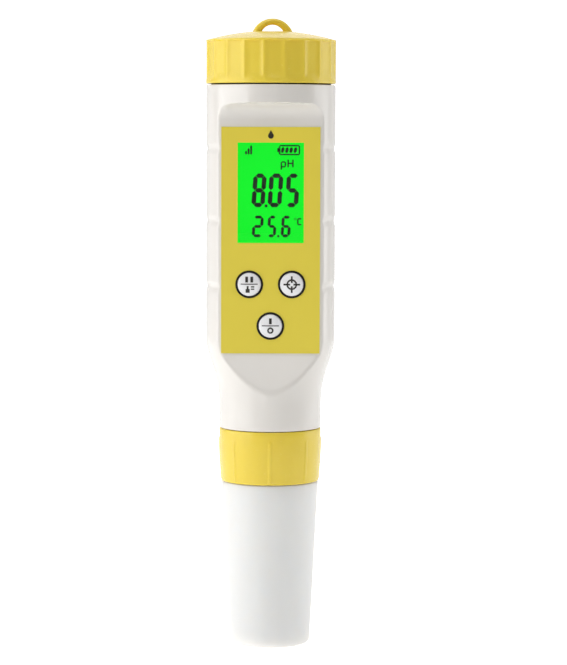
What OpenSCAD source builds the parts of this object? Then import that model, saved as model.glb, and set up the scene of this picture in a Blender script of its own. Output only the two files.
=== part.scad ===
// Digital pH meter, pen pattern: a handle with display and keys, a screw-on
// battery cap, a screw-on probe and a wet storage cap over the glass bulb.
// Millimetres. +Z runs up the axis, the display faces -Y, the storage cap stands on z = 0.

/* [Handle] */
// Radius of the straight part of the handle
body_r = 19.2; // [18.8:0.1:19.6]
// Radius of the handle where it meets the collar
waist_r = 15.2; // [14.9:0.1:15.5]
// Height at which the handle starts
body_z0 = 65.2; // [65.2:0.1:65.6]
// Height of the handle's top edge
body_z1 = 167.3; // [167:0.1:167.5]
// Wall of the handle
body_wall = 2; // [1.8:0.1:2.2]
// Depth of the grip valleys
valley_depth = 0.3; // [0.1:0.05:0.4]
// Distance of the flat front panel from the axis
flat_y = 11.35; // [11.2:0.05:11.5]

/* [Display] */
// Width of the display window
window_w = 19.5; // [18:0.5:20]
// Height of the display window
window_h = 29.5; // [28:0.5:30]
// Height of the window's lower edge
window_z = 120.8; // [120:0.1:121.5]
// Slant of the figures in degrees
slant = 4; // [0:1:8]

/* [Keys] */
// Radius of a key
key_r = 3.45; // [3.2:0.05:3.5]
// Key travel
key_travel = 0.6; // [0.4:0.1:0.6]
// Sideways distance of the upper keys
key_x = 6.27; // [6:0.1:6.6]
// Height of the upper keys
key_z_high = 108.6; // [108:0.1:109]
// Height of the lower key
key_z_low = 96.3; // [96:0.1:97]

/* [Battery cap] */
// Radius over the ribs
cap_r = 19.3; // [19.2:0.05:19.5]
// Number of ribs
cap_ribs = 20; // [16:2:24]
// Width of a rib
cap_rib_w = 0.7; // [0.5:0.1:1]
// Depth of the hollow between two ribs
cap_hollow = 0.4; // [0.3:0.05:0.5]
// Direction of one rib, in degrees from the front
cap_turn = -6; // [-9:1:9]

/* [Threads] */
// Rise of both threads in one turn
lead = 3; // [3:0.1:3.2]
// Width of a thread at its foot
thread_foot = 1.1; // [1:0.1:1.2]
// Width of a thread at its crest
thread_crest = 0.5; // [0.4:0.1:0.6]

/* [Probe and collar] */
// Outer radius of the collar at its top
collar_r = 15.2; // [15.1:0.05:15.3]
// Number of ribs on the collar
collar_ribs = 8; // [6:1:10]
// Outer radius of the probe barrel near the bulb
barrel_r = 9.5; // [9.2:0.1:9.6]
// Radius of the glass bulb
bulb_r = 4.6; // [4.2:0.1:4.8]

/* [Protective cap] */
// Outer radius at the base
cover_r0 = 12.1; // [12:0.05:12.2]
// Outer radius at the mouth
cover_r1 = 14.5; // [14.4:0.05:14.6]
// Height of the protective cap
cover_h = 49; // [48.8:0.1:49]

/* [Hidden] */
$fn = 96;
far = 40;                // longer than any radius, for cutting tools
eps = 0.01;
fit = 0.05;              // clearance between two pieces that meet

// the S-curve between waist and handle
curve_z0 = 71;
curve_z1 = 92;
curve_steps = 20;
curve_power = 1.35;
valley_z = [107.6, 127.2, 148.5];
valley_half = 1.9;
valley_steps = 8;
edge = 0.4;              // small rounding on outer edges

// inside of the handle
spigot_r = 12.6;         // root of the collar thread
spigot_z0 = 55;
spigot_bore_r = 10.9;
socket_z0 = 66.5;
socket_seat_r = 12.8;
cavity_r = body_r - body_wall;
front_wall_y = flat_y - 1.6;

// front panel cut
hood_r = 5;              // hollow curve under the hood
hood_z = 156.8;          // where that curve leaves the flat
ramp_z = 88;             // where the flat turns into the ramp
ramp_out = [15.6, 76.2]; // a point of the ramp: distance from the axis, height

// front panel pieces
label_t = 0.2;
label_w = 29.1;
label_z0 = 88.2;
label_z1 = 154.9;
lens_t = 0.8;
lens_margin = 0.25;      // lens edge under the label
ring_wall = 0.5;
ring_out = 0.5;          // how far a ring stands out of the panel
key_gap = 0.1;
ring_r = key_r + key_gap + ring_wall;
keys = [[-key_x, key_z_high], [0, key_z_low], [key_x, key_z_high]];

// layers behind the front wall, as distances from the axis towards the front
segment_y = front_wall_y - fit;
cell_y = segment_y - 0.1;
cell_t = 2;
backlight_y = cell_y - cell_t - fit;
backlight_t = 2.8;
board_y = 3.2;
board_t = 1.6;
board_w = 26;
membrane_y = front_wall_y - fit;
membrane_t = 0.8;
plunger_y = 6.7;
switch_y = 5.8;

// battery end
neck_r = 16.6;
neck_z1 = 175.6;
plug_z0 = 163.6;          // underside of the housing's plug, above the hood
well_z0 = 161.5;          // underside of the wells
well_x = 6.6;
well_r = 5.95;
well_wall = 1.1;
well_floor = 164.6;
slot_y0 = -1.7;          // slots for the two battery contacts
slot_y1 = -1.1;
cell_r = 5.8;
cell_h = 5.4;
keyway_y = 10.6;
keyway_gap = 0.3;        // play between a keyway and the bridge's key
bridge_key_w = 1.4;      // half width of a key on the bridge
bridge_key_t = 0.6;      // half its thickness
bridge_z = 177;
bridge_t = 0.8;
bridge_r = 14.6;
bridge_foot_r = 2.5;
cap_z0 = 167.7;
cap_z1 = 180.6;
cap_top = 183;
cap_flat_r = 6.5;
cap_root_r = 17.7;       // root of the cap's inner thread
cap_inner_crest = 16.95;
neck_crest = 17.35;
cap_thread_z = 169.9;
cap_thread_turns = 1.6;
cap_relief_r = 18.2;     // room for the seal under the thread
cap_relief_z = 169.3;
cap_pocket_r = 15;       // pocket for the contact bridge
cap_pocket_z = 175;
cap_ledge_z = 176;       // end of the thread bore
cap_ceiling = 178.3;
cap_dome_z = 180.4;      // top of the hollow under the dome
loop_out_r = 6.5;
loop_in_r = 3.72;
loop_top = 187;
loop_gap = 185.1;        // top of the opening
loop_depth = 3;
loop_turn = 10;

// probe end
collar_z0 = 49.2;
collar_z1 = 65;
collar_r0 = 14.6;
collar_root_r = 13.65;
collar_inner_crest = 12.95;
spigot_crest = 13.3;
collar_thread_z = 57.3;
collar_thread_turns = 1.75;
collar_flange = 1.8;
collar_flange_r = 12.15;
flange_r = 12.75;
flange_z0 = 51.15;
flange_z1 = 54.5;
plug_r = 10.75;
plug_z1 = 63.5;
shoulder_z = 37;
barrel_z0 = 24;
guard_z0 = 10.6;
guard_wall = 1.7;
cover_wall = 1.5;
cover_floor = 2;
cover_in0 = cover_r0 - cover_wall;
cover_in1 = 12.2;        // inner radius at the mouth
seal_z = 43;
pin_ring_r = 5;
pin_count = 5;
pin_r = 0.45;
pin_h = 6.7;
plug_lid = 3;
plug_seal_z = 58;
plug_groove = 1.3;
seal_groove = 1.25;
tube_r = 4;
tube_wall = 0.7;
chamber_r = 6.5;         // electrolyte chamber of the probe
temperature_x = 6.2;
temperature_r = 1.15;
junction_x = -6.4;
junction_r = 1;

function smooth(t) = t * t * (3 - 2 * t);
function body_radius(z) =
    z <= curve_z0 ? waist_r :
    z >= curve_z1 ? body_r :
    waist_r + (body_r - waist_r) * smooth(pow((z - curve_z0) / (curve_z1 - curve_z0), curve_power));
function valley(z, c) = abs(z - c) >= valley_half ? 0 :
    valley_depth / 2 * (1 + cos(180 * (z - c) / valley_half));
function curve_points(offset) = [
    for (i = [0 : curve_steps])
        let (z = curve_z0 + i * (curve_z1 - curve_z0) / curve_steps)
            [body_radius(z) - offset, z]
];
function valley_points() = [
    for (c = valley_z, i = [0 : valley_steps])
        let (z = c - valley_half + 2 * valley_half * i / valley_steps)
            [body_r - valley(z, c), z]
];
// inner radius of the protective cap at a height
function cover_inner(z) =
    cover_in0 + (cover_in1 - cover_in0) * (z - cover_floor) / (cover_h - cover_floor);

// A flat shape drawn as width and height, standing on the front plane at distance y
module front_plate(y, t) {
    translate([0, t - y, 0])
        rotate([90, 0, 0])
            linear_extrude(t)
                children();
}

module disc(r, z0, z1) {
    translate([0, 0, z0])
        cylinder(h = z1 - z0, r = r);
}

module ring(r_out, r_in, z0, z1) {
    difference() {
        disc(r_out, z0, z1);
        disc(r_in, z0 - 1, z1 + 1);
    }
}

module torus(r, minor, z) {
    rotate_extrude()
        translate([r, z])
            circle(r = minor, $fn = 32);
}

module block(x0, x1, y0, y1, z0, z1) {
    translate([x0, y0, z0])
        cube([x1 - x0, y1 - y0, z1 - z0]);
}

// One helical thread ridge, a trapezium swept round the axis. Its foot is sunk
// into the wall it stands on, and both ends run out into that wall.
module thread(r_root, r_crest, z0, turns, start_angle) {
    steps_per_turn = 36;
    sunk = 0.25;
    n = round(turns * steps_per_turn);
    out = sign(r_crest - r_root);
    runout = 4;
    function fade(i) = min(1, min(i, n - i) / runout);
    function section(i) =
        let (
            a = start_angle + 360 * i / steps_per_turn,
            z = z0 + lead * i / steps_per_turn,
            foot = r_root - out * sunk,
            crest = r_root + (r_crest - r_root) * fade(i) - out * sunk * 0.5 * (1 - fade(i))
        )
        [
            [foot * cos(a), foot * sin(a), z - thread_foot / 2],
            [crest * cos(a), crest * sin(a), z - thread_crest / 2],
            [crest * cos(a), crest * sin(a), z + thread_crest / 2],
            [foot * cos(a), foot * sin(a), z + thread_foot / 2]
        ];
    points = [for (i = [0 : n]) each section(i)];
    sides = [
        for (i = [0 : n - 1], k = [0 : 3])
            let (a = 4 * i + k, b = 4 * i + (k + 1) % 4)
                each [[a, b, b + 4], [a, b + 4, a + 4]]
    ];
    ends = [[3, 2, 1, 0], [4 * n, 4 * n + 1, 4 * n + 2, 4 * n + 3]];
    faces = concat(sides, ends);
    polyhedron(points, out < 0 ? [for (f = faces) [for (k = [len(f) - 1 : -1 : 0]) f[k]]] : faces);
}

// ---------------------------------------------------------------- handle

// Side profile of what is cut away in front of the panel, drawn as distance and height
module front_cut() {
    ramp_slope = (ramp_z - ramp_out[1]) / (ramp_out[0] - flat_y);
    rotate([90, 0, -90])
        translate([0, 0, -far])
            linear_extrude(2 * far) {
                translate([flat_y, ramp_z])
                    square([far - flat_y, hood_z - ramp_z]);
                translate([flat_y + hood_r, hood_z])
                    circle(r = hood_r);
                translate([flat_y + hood_r, hood_z])
                    square([far - flat_y - hood_r, hood_r]);
                polygon([
                    [flat_y, ramp_z + eps],
                    [far, ramp_z + eps],
                    [far, ramp_z - (far - flat_y) * ramp_slope],
                    [flat_y, ramp_z]
                ]);
            }
}

module body_outline() {
    rotate_extrude()
        polygon(concat(
            [[0, spigot_z0], [spigot_r, spigot_z0], [spigot_r, body_z0],
             [waist_r - edge, body_z0], [waist_r, body_z0 + edge]],
            curve_points(0),
            valley_points(),
            [[body_r, body_z1 - edge], [body_r - edge, body_z1], [0, body_z1]]
        ));
}

module body_cavity() {
    intersection() {
        rotate_extrude()
            polygon(concat(
                [[0, socket_z0], [socket_seat_r, socket_z0]],
                [for (p = curve_points(body_wall)) [max(socket_seat_r, p[0]), p[1]]],
                [[cavity_r, body_z1 + 1], [0, body_z1 + 1]]
            ));
        union() {
            block(-far, far, -front_wall_y, far, spigot_z0, body_z1);
            block(-far, far, -far, far, plug_z0 - 0.1, body_z1 + 2);
            block(-far, far, -far, far, spigot_z0, curve_z0 + 3);
        }
    }
}

module body_shell() {
    color("white") {
        difference() {
            body_outline();
            body_cavity();
            front_cut();
            disc(spigot_bore_r, spigot_z0 - 1, socket_z0 + 1);
            front_plate(flat_y + 1, 4)
                translate([-window_w / 2 - lens_margin - fit, window_z - lens_margin - fit])
                    square([
                        window_w + 2 * (lens_margin + fit),
                        window_h + 2 * (lens_margin + fit)
                    ]);
            for (k = keys)
                front_plate(flat_y + 1, 4)
                    translate(k)
                        circle(r = ring_r + fit);
        }
        thread(spigot_r, spigot_crest, collar_thread_z, collar_thread_turns, 0);
    }
}

module front_label() {
    color("#d6c548")
        difference() {
            front_plate(flat_y + label_t, label_t)
                translate([-label_w / 2, label_z0])
                    square([label_w, label_z1 - label_z0]);
            front_plate(flat_y + 1, 2)
                translate([-window_w / 2, window_z])
                    square([window_w, window_h]);
            for (k = keys)
                front_plate(flat_y + 1, 2)
                    translate(k)
                        circle(r = ring_r + fit);
        }
}

module lcd_lens() {
    color("lightgray", 0.4)
        front_plate(flat_y, lens_t)
            translate([-window_w / 2 - lens_margin, window_z - lens_margin])
                square([window_w + 2 * lens_margin, window_h + 2 * lens_margin]);
}

// ---------------------------------------------------------------- display figures

// Lines of a seven-part figure, as ends on a grid one wide and two high
bars = [
    [[0, 2], [1, 2]], [[1, 2], [1, 1]], [[1, 1], [1, 0]], [[0, 0], [1, 0]],
    [[0, 1], [0, 0]], [[0, 2], [0, 1]], [[0, 1], [1, 1]]
];
// Which of those lines each figure from 0 to 9 lights
lit = [
    [0, 1, 2, 3, 4, 5], [1, 2], [0, 1, 6, 4, 3], [0, 1, 2, 3, 6], [5, 6, 1, 2],
    [0, 5, 6, 2, 3], [0, 5, 6, 4, 2, 3], [0, 1, 2], [0, 1, 2, 3, 4, 5, 6], [0, 1, 2, 3, 5, 6]
];

// A straight stroke with pointed ends
module stroke(a, b, w) {
    d = b - a;
    l = norm(d);
    u = d / l;
    v = [-u[1], u[0]] * w / 2;
    polygon([a, a + u * w / 2 + v, b - u * w / 2 + v, b, b - u * w / 2 - v, a + u * w / 2 - v]);
}

module figure(digit, x, z, width, height, w) {
    for (b = lit[digit]) {
        ends = [for (p = bars[b])
            let (h = w / 2 + p[1] * (height - w) / 2)
                [x + w / 2 + p[0] * (width - w) + h * tan(slant), z + h]];
        stroke(ends[0] + (ends[1] - ends[0]) * 0.02, ends[1] + (ends[0] - ends[1]) * 0.02, w);
    }
}

module lcd_segments() {
    color("#002300")
        front_plate(segment_y, 0.04) {
            figure(8, -5.6, 131.3, 3.9, 9.9, 0.95);
            figure(0, -0.8, 131.3, 4.1, 9.9, 0.95);
            figure(5, 4.3, 131.3, 3.9, 9.9, 0.95);
            translate([-1.4, 131.3])
                square(0.8);
            figure(2, -5.4, 122.45, 3.1, 6.35, 0.6);
            figure(5, -1.1, 122.45, 2.6, 6.35, 0.6);
            figure(6, 3, 122.45, 2.8, 6.35, 0.6);
            translate([2.1, 122.45])
                square(0.6);
        }
}

module lcd_cell() {
    color("#00f52c")
        front_plate(cell_y, cell_t)
            translate([-12, window_z - 2.4])
                square([24, window_h + 4.8]);
}

module lcd_backlight() {
    color("lightgreen")
        front_plate(backlight_y, backlight_t)
            translate([-11, window_z - 0.6])
                square([22, window_h + 1.2]);
}

module zebra_strips() {
    color("dimgray")
        for (z = [window_z - 2.3, window_z + window_h + 0.7])
            block(-10, 10, -backlight_y, -board_y, z, z + 1.5);
}

// ---------------------------------------------------------------- keys

module keypad_membrane() {
    color("#1a0f00")
        difference() {
            union() {
                front_plate(membrane_y, membrane_t)
                    translate([-11.5, 91])
                        square([23, 23.5]);
                for (k = keys)
                    front_plate(flat_y + ring_out, flat_y + ring_out - membrane_y)
                        translate(k)
                            circle(r = ring_r);
            }
            for (k = keys)
                front_plate(flat_y + 2, 6)
                    translate(k)
                        circle(r = key_r + key_gap);
        }
}

// A key: domed top, stem through the ring and a flange behind the membrane
module key(at) {
    dome_rise = 0.5;
    dome_r = (key_r * key_r + dome_rise * dome_rise) / (2 * dome_rise);
    stem_front = flat_y + 0.55;
    stem_back = plunger_y + key_travel + 0.1;
    flange_front = membrane_y - membrane_t - 0.2;
    translate([at[0], 0, at[1]])
        rotate([90, 0, 0])
            rotate_extrude() {
                translate([0, stem_back])
                    square([key_r, stem_front - stem_back]);
                translate([0, flange_front - 0.6])
                    square([key_r + 0.9, 0.6]);
                intersection() {
                    translate([0, stem_front + dome_rise - dome_r])
                        circle(r = dome_r);
                    translate([0, stem_front - 0.1])
                        square([key_r, 1]);
                }
            }
}

module button_hold() {
    color("#f0eef0")
        key(keys[0]);
}

module button_cal() {
    color("#f0eef0")
        key(keys[2]);
}

module button_power() {
    color("#f0eef0")
        key(keys[1]);
}

// ---------------------------------------------------------------- electronics

module chassis() {
    side = 13.4;
    split_z = 116.5;
    key_well_r = 4.9;
    pilot_r = 0.8;
    pilot_h = 5;
    color("#303030")
        difference() {
            union() {
                block(-side, side, 0.2 - front_wall_y, -board_y, split_z, 157.5);
                block(-side, side, membrane_t + 0.15 - front_wall_y, -board_y, 90, split_z);
            }
            block(-12.1, 12.1, -far, 0, window_z - 2.5, window_z + window_h + 2.5);
            for (k = keys)
                translate([k[0], 0, k[1]])
                    rotate([90, 0, 0])
                        cylinder(h = 20, r = key_well_r);
            for (p = screw_places)
                translate([p[0], 1 - board_y - pilot_h, p[1]])
                    rotate([-90, 0, 0])
                        cylinder(h = pilot_h, r = pilot_r);
        }
}

screw_places = [[-11.8, 92.5], [11.8, 92.5], [-11.8, 155.4], [11.8, 155.4]];

module chassis_screws() {
    color("silver")
        for (p = screw_places)
            translate([p[0], 0, p[1]])
                rotate([-90, 0, 0])
                    rotate_extrude() {
                        translate([0, -board_y - 3.2])
                            square([0.78, 4.8]);
                        translate([0, board_t - board_y])
                            square([1.7, 1]);
                    }
}

module main_pcb() {
    color("darkgreen")
        difference() {
            union() {
                block(-board_w / 2, board_w / 2, -board_y, board_t - board_y, 87, 158);
                block(-5, 5, -board_y, board_t - board_y, 74, 87 + eps);
            }
            for (p = screw_places)
                translate([p[0], -far, p[1]])
                    rotate([-90, 0, 0])
                        cylinder(h = 2 * far, r = 0.85);
        }
}

module circuit_chips() {
    back = board_t - board_y;
    color("#202020") {
        block(-5, 5, back, back + 1.4, 128, 138);
        block(-9, -4, back, back + 1.2, 112, 116);
        block(2, 7, back, back + 1.2, 112, 116);
        block(-2, 2, back, back + 1.5, 96, 99);
    }
}

module tact_switches() {
    color("silver")
        for (k = keys)
            translate([k[0], 0, k[1]]) {
                block(-3, 3, -switch_y, -board_y, -3, 3);
                translate([0, -switch_y + eps, 0])
                    rotate([90, 0, 0])
                        cylinder(h = plunger_y - switch_y + eps, r = 1.7);
            }
}

module radio_module() {
    back = board_t - board_y;
    color("steelblue") {
        block(-7, 7, back, back + 0.8, 142, 155);
        block(-5.5, 5.5, back + 0.8, back + 2.2, 142.5, 150.5);
    }
}

module probe_socket() {
    color("#282828")
        difference() {
            union() {
                disc(socket_seat_r - 0.1, socket_z0 + 0.05, 70.5);
                disc(8, 70.5, 80);
            }
            block(-5.1, 5.1, -board_y - 0.05, board_t - board_y + 0.05, 73.9, 81);
            for (i = [0 : pin_count - 1])
                rotate(360 * i / pin_count)
                    translate([pin_ring_r, 0, socket_z0 - 1])
                        cylinder(h = 5, r = pin_r + 0.2);
        }
}

// ---------------------------------------------------------------- battery end

module battery_housing() {
    color("white") {
        difference() {
            union() {
                disc(cavity_r - 0.05, plug_z0, body_z1);
                disc(neck_r, body_z1 - eps, neck_z1);
                for (x = [-well_x, well_x])
                    translate([x, 0, well_z0])
                        cylinder(h = plug_z0 - well_z0 + eps, r = well_r + well_wall);
            }
            for (x = [-well_x, well_x])
                translate([x, 0, well_floor])
                    cylinder(h = 20, r = well_r);
            for (x = [-well_x, well_x])
                block(x - 1.3, x + 1.3, slot_y0, slot_y1, well_z0 - 1, well_floor + 1);
            for (s = [-1, 1])
                block(
                    -bridge_key_w - keyway_gap, bridge_key_w + keyway_gap,
                    s * keyway_y - bridge_key_t - keyway_gap,
                    s * keyway_y + bridge_key_t + keyway_gap,
                    well_floor, neck_z1 + 1
                );
        }
        thread(neck_r, neck_crest, cap_thread_z, cap_thread_turns, 0);
    }
}

module battery_cells() {
    color("silver")
        for (x = [-well_x, well_x], n = [0, 1])
            translate([x, 0, well_floor + 0.4 + n * cell_h])
                rotate_extrude()
                    polygon([
                        [0, 0], [cell_r - 1.2, 0], [cell_r - 1, 0.3], [cell_r - 0.3, 0.3],
                        [cell_r, 0.6], [cell_r, cell_h - 0.2], [cell_r - 0.2, cell_h], [0, cell_h]
                    ]);
}

module battery_contacts() {
    color("goldenrod")
        for (x = [-well_x, well_x]) {
            translate([x, 0, well_floor])
                cylinder(h = 0.35, r = 4.2);
            block(x - 1.1, x + 1.1, board_t - board_y, board_t - board_y + 0.4, 156, well_floor + 0.2);
        }
}

module cap_oring() {
    color("#151515")
        torus(neck_r + 0.7, 0.7, body_z1 + 0.7);
}

module contact_bridge() {
    foot_z = well_floor + 0.45 + 2 * cell_h;
    key_z = 165.2;
    sunk = 0.1;
    color("gold") {
        disc(bridge_r, bridge_z, bridge_z + bridge_t);
        for (x = [-well_x, well_x])
            translate([x, 0, foot_z])
                cylinder(h = bridge_z + sunk - foot_z, r = bridge_foot_r);
        for (s = [-1, 1])
            block(
                -bridge_key_w, bridge_key_w,
                s * keyway_y - bridge_key_t, s * keyway_y + bridge_key_t,
                key_z, bridge_z + sunk
            );
    }
}

module cap_outline() {
    rotate_extrude()
        polygon([
            [0, cap_z0], [cap_r - 0.15, cap_z0], [cap_r, cap_z0 + 0.2], [cap_r, cap_z1 - 0.15],
            [cap_r - 0.2, cap_z1], [cap_r - 5.5, cap_z1 + 1.2],
            [cap_flat_r, cap_top - 0.1], [cap_flat_r - 0.6, cap_top], [0, cap_top]
        ]);
}

// Hollow panels between the ribs; the band under them stays round
module cap_hollows() {
    pitch = 360 / cap_ribs;
    panel = 2 * cap_r * sin(pitch / 2) - cap_rib_w;
    sagitta = panel * panel / (8 * cap_r);
    bow = cap_hollow - sagitta;
    tool_r = panel * panel / (8 * bow);
    for (i = [0 : cap_ribs - 1])
        rotate(-90 + cap_turn + (i + 0.5) * pitch)
            translate([cap_r - cap_hollow + tool_r, 0, cap_z0 + 1.8])
                cylinder(h = 20, r = tool_r, $fn = 96);
}

module battery_cap() {
    lip = 1.2;
    color("#e0c040") {
        difference() {
            cap_outline();
            intersection() {
                cap_hollows();
                disc(far, cap_z0, cap_z1 - 0.45);
            }
            disc(cap_root_r, cap_z0 - 1, cap_ledge_z);
            disc(cap_relief_r, cap_z0 - 1, cap_relief_z);
            difference() {
                disc(cap_root_r, cap_ledge_z - 0.1, cap_ceiling);
                disc(cap_pocket_r + lip, cap_ledge_z - 0.5, cap_ceiling + 1);
            }
            disc(cap_pocket_r, cap_pocket_z, cap_ceiling);
            rotate_extrude()
                polygon([
                    [0, cap_ceiling - eps], [12, cap_ceiling - eps], [5, cap_dome_z], [0, cap_dome_z]
                ]);
        }
        thread(cap_root_r, cap_inner_crest, cap_thread_z, cap_thread_turns, 180);
    }
}

module lanyard_loop() {
    color("#e8c838")
        translate([0.4, 0, 0])
            rotate(loop_turn)
                front_plate(loop_depth / 2, loop_depth)
                    intersection() {
                        difference() {
                            translate([0, loop_top - loop_out_r])
                                circle(r = loop_out_r);
                            translate([0, loop_gap - loop_in_r])
                                circle(r = loop_in_r);
                        }
                        translate([-far / 2, cap_top])
                            square([far, 10]);
                    }
}

module retaining_ring() {
    color("dimgray")
        ring(cap_pocket_r, 13.4, cap_ledge_z, cap_ledge_z + 0.7);
}

// ---------------------------------------------------------------- probe

module probe_housing() {
    seal_root = cover_inner(seal_z) - 0.3 - seal_groove;
    plug_root = plug_r - plug_groove;
    color("#3a3a3c")
        difference() {
            rotate_extrude()
                polygon([
                    [0, barrel_z0], [barrel_r - 0.4, barrel_z0], [barrel_r, barrel_z0 + 0.4],
                    [barrel_r, shoulder_z - 2], [cover_inner(shoulder_z) - 0.3, shoulder_z],
                    [cover_inner(seal_z) - 0.3, seal_z - 1], [seal_root, seal_z - 0.95],
                    [seal_root, seal_z + 0.95], [cover_inner(seal_z) - 0.3, seal_z + 1],
                    [cover_inner(cover_h) - 0.35, cover_h - 0.1], [cover_inner(cover_h) - 0.35, flange_z0],
                    [flange_r, flange_z0], [flange_r, flange_z1],
                    [plug_r, flange_z1], [plug_r, plug_seal_z - 1], [plug_root, plug_seal_z - 0.95],
                    [plug_root, plug_seal_z + 0.95], [plug_r, plug_seal_z + 1], [plug_r, plug_z1 - 0.5],
                    [plug_r - 0.5, plug_z1], [0, plug_z1]
                ]);
            disc(chamber_r, barrel_z0 + 4, plug_z1 - plug_lid);
            disc(tube_r + fit, barrel_z0 - 1, barrel_z0 + 5);
            translate([temperature_x, 0, barrel_z0 - 1])
                cylinder(h = 4, r = temperature_r + 0.1);
            translate([junction_x, 0, barrel_z0 - 1])
                cylinder(h = 2.5, r = junction_r);
            for (i = [0 : pin_count - 1])
                rotate(360 * i / pin_count)
                    translate([pin_ring_r, 0, plug_z1 - plug_lid - 1])
                        cylinder(h = plug_lid + 2, r = pin_r + 0.03);
        }
}

module probe_guard() {
    slots = 4;
    slot_w = 6.5;
    color("#3a3a3c")
        difference() {
            rotate_extrude()
                polygon([
                    [barrel_r - guard_wall, guard_z0 + 0.3], [barrel_r - guard_wall + 0.3, guard_z0],
                    [barrel_r - 0.5, guard_z0], [barrel_r, guard_z0 + 0.5],
                    [barrel_r, barrel_z0], [barrel_r - guard_wall, barrel_z0]
                ]);
            for (i = [0 : slots - 1])
                rotate(45 + 360 * i / slots)
                    block(0, far, -slot_w / 2, slot_w / 2, guard_z0 + 2.2, barrel_z0 - 2);
        }
}

module glass_bulb() {
    bulb_z = 17.6;
    color("lightcyan", 0.5)
        difference() {
            union() {
                disc(tube_r, bulb_z, 52);
                translate([0, 0, bulb_z])
                    sphere(r = bulb_r);
            }
            disc(tube_r - tube_wall, bulb_z, 51);
            translate([0, 0, bulb_z])
                sphere(r = bulb_r - 0.5);
        }
}

module silver_wire() {
    color("silver") {
        disc(0.45, 20, 50.9);
        disc(1.1, 17, 23);
    }
}

module reference_junction() {
    color("white")
        translate([junction_x, 0, barrel_z0 - 0.3])
            cylinder(h = 1.8, r = junction_r);
}

module temperature_pin() {
    color("silver")
        translate([temperature_x, 0, 14.2])
            rotate_extrude()
                polygon([
                    [0, 0], [0.7, 0.1], [1.05, 0.45], [temperature_r, 0.9], [temperature_r, 12.7], [0, 12.7]
                ]);
}

module probe_pins() {
    color("gold")
        for (i = [0 : pin_count - 1])
            rotate(360 * i / pin_count)
                translate([pin_ring_r, 0, plug_z1 - 2]) {
                    cylinder(h = pin_h, r = pin_r);
                    translate([0, 0, pin_h - eps])
                        cylinder(h = 0.4, r1 = pin_r, r2 = pin_r / 2);
                }
}

module plug_oring() {
    color("#151515")
        torus(plug_r - 0.55, 0.65, plug_seal_z);
}

module seal_ring() {
    color("#151515")
        torus(cover_inner(seal_z) - 0.75, 0.68, seal_z);
}

module collar() {
    rib_out = 0.16;
    rib_w = 0.9;
    rib_z0 = collar_z0 + 0.3;
    rib_h = collar_z1 - collar_z0 - 2.8;
    rib_lean = 2.9;
    color("#ead060") {
        difference() {
            union() {
                rotate_extrude()
                    polygon([
                        [0, collar_z0], [collar_r0 - 0.3, collar_z0], [collar_r0, collar_z0 + 0.3],
                        [collar_r - 0.05, 55], [collar_r, 62], [collar_r, collar_z1 - 0.3],
                        [collar_r - 0.3, collar_z1], [0, collar_z1]
                    ]);
                for (i = [0 : collar_ribs - 1])
                    rotate(-90 + 360 * i / collar_ribs)
                        translate([collar_r0 - 1, 0, rib_z0])
                            rotate([0, rib_lean, 0])
                                translate([0, -rib_w / 2, 0])
                                    cube([1 + rib_out, rib_w, rib_h]);
            }
            disc(collar_root_r, collar_z0 + collar_flange, collar_z1 + 1);
            disc(collar_flange_r, collar_z0 - 1, collar_z1);
        }
        thread(collar_root_r, collar_inner_crest, collar_thread_z, collar_thread_turns, 180);
    }
}

module protective_cap() {
    fillet = 1.2;
    color("gainsboro", 0.7)
        difference() {
            rotate_extrude() {
                polygon([
                    [0, 0], [cover_r0 - fillet, 0], [cover_r0 - fillet, fillet],
                    [cover_r0, fillet], [cover_r1 - 0.03, cover_h - 0.3], [cover_r1 - 0.3, cover_h], [0, cover_h]
                ]);
                translate([cover_r0 - fillet, fillet])
                    circle(r = fillet, $fn = 32);
            }
            rotate_extrude()
                polygon([
                    [0, cover_floor], [cover_in0 - 0.6, cover_floor], [cover_in0, cover_floor + 0.6],
                    [cover_inner(cover_h + 1), cover_h + 1], [0, cover_h + 1]
                ]);
        }
}

module storage_sponge() {
    color("khaki")
        disc(cover_in0 - 0.75, cover_floor, 6);
}

body_shell();
front_label();
lcd_lens();
lcd_segments();
lcd_cell();
lcd_backlight();
zebra_strips();
keypad_membrane();
button_hold();
button_cal();
button_power();
chassis();
chassis_screws();
main_pcb();
circuit_chips();
tact_switches();
radio_module();
probe_socket();
battery_housing();
battery_cells();
battery_contacts();
cap_oring();
contact_bridge();
battery_cap();
lanyard_loop();
retaining_ring();
probe_housing();
probe_guard();
glass_bulb();
silver_wire();
reference_junction();
temperature_pin();
probe_pins();
plug_oring();
seal_ring();
collar();
protective_cap();
storage_sponge();
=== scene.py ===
"""Digital pH meter, pen pattern: the finished meshes, finishes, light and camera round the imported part.

Every length in the classes is in millimetres, in the part's own frame: +Z up the axis, the display
facing -Y, and the protective cap standing on z = 0. Meshes are made in metres.
"""

import logging
import math
from collections.abc import Callable, Iterable, Sequence
from dataclasses import dataclass, field
from enum import Enum

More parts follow.
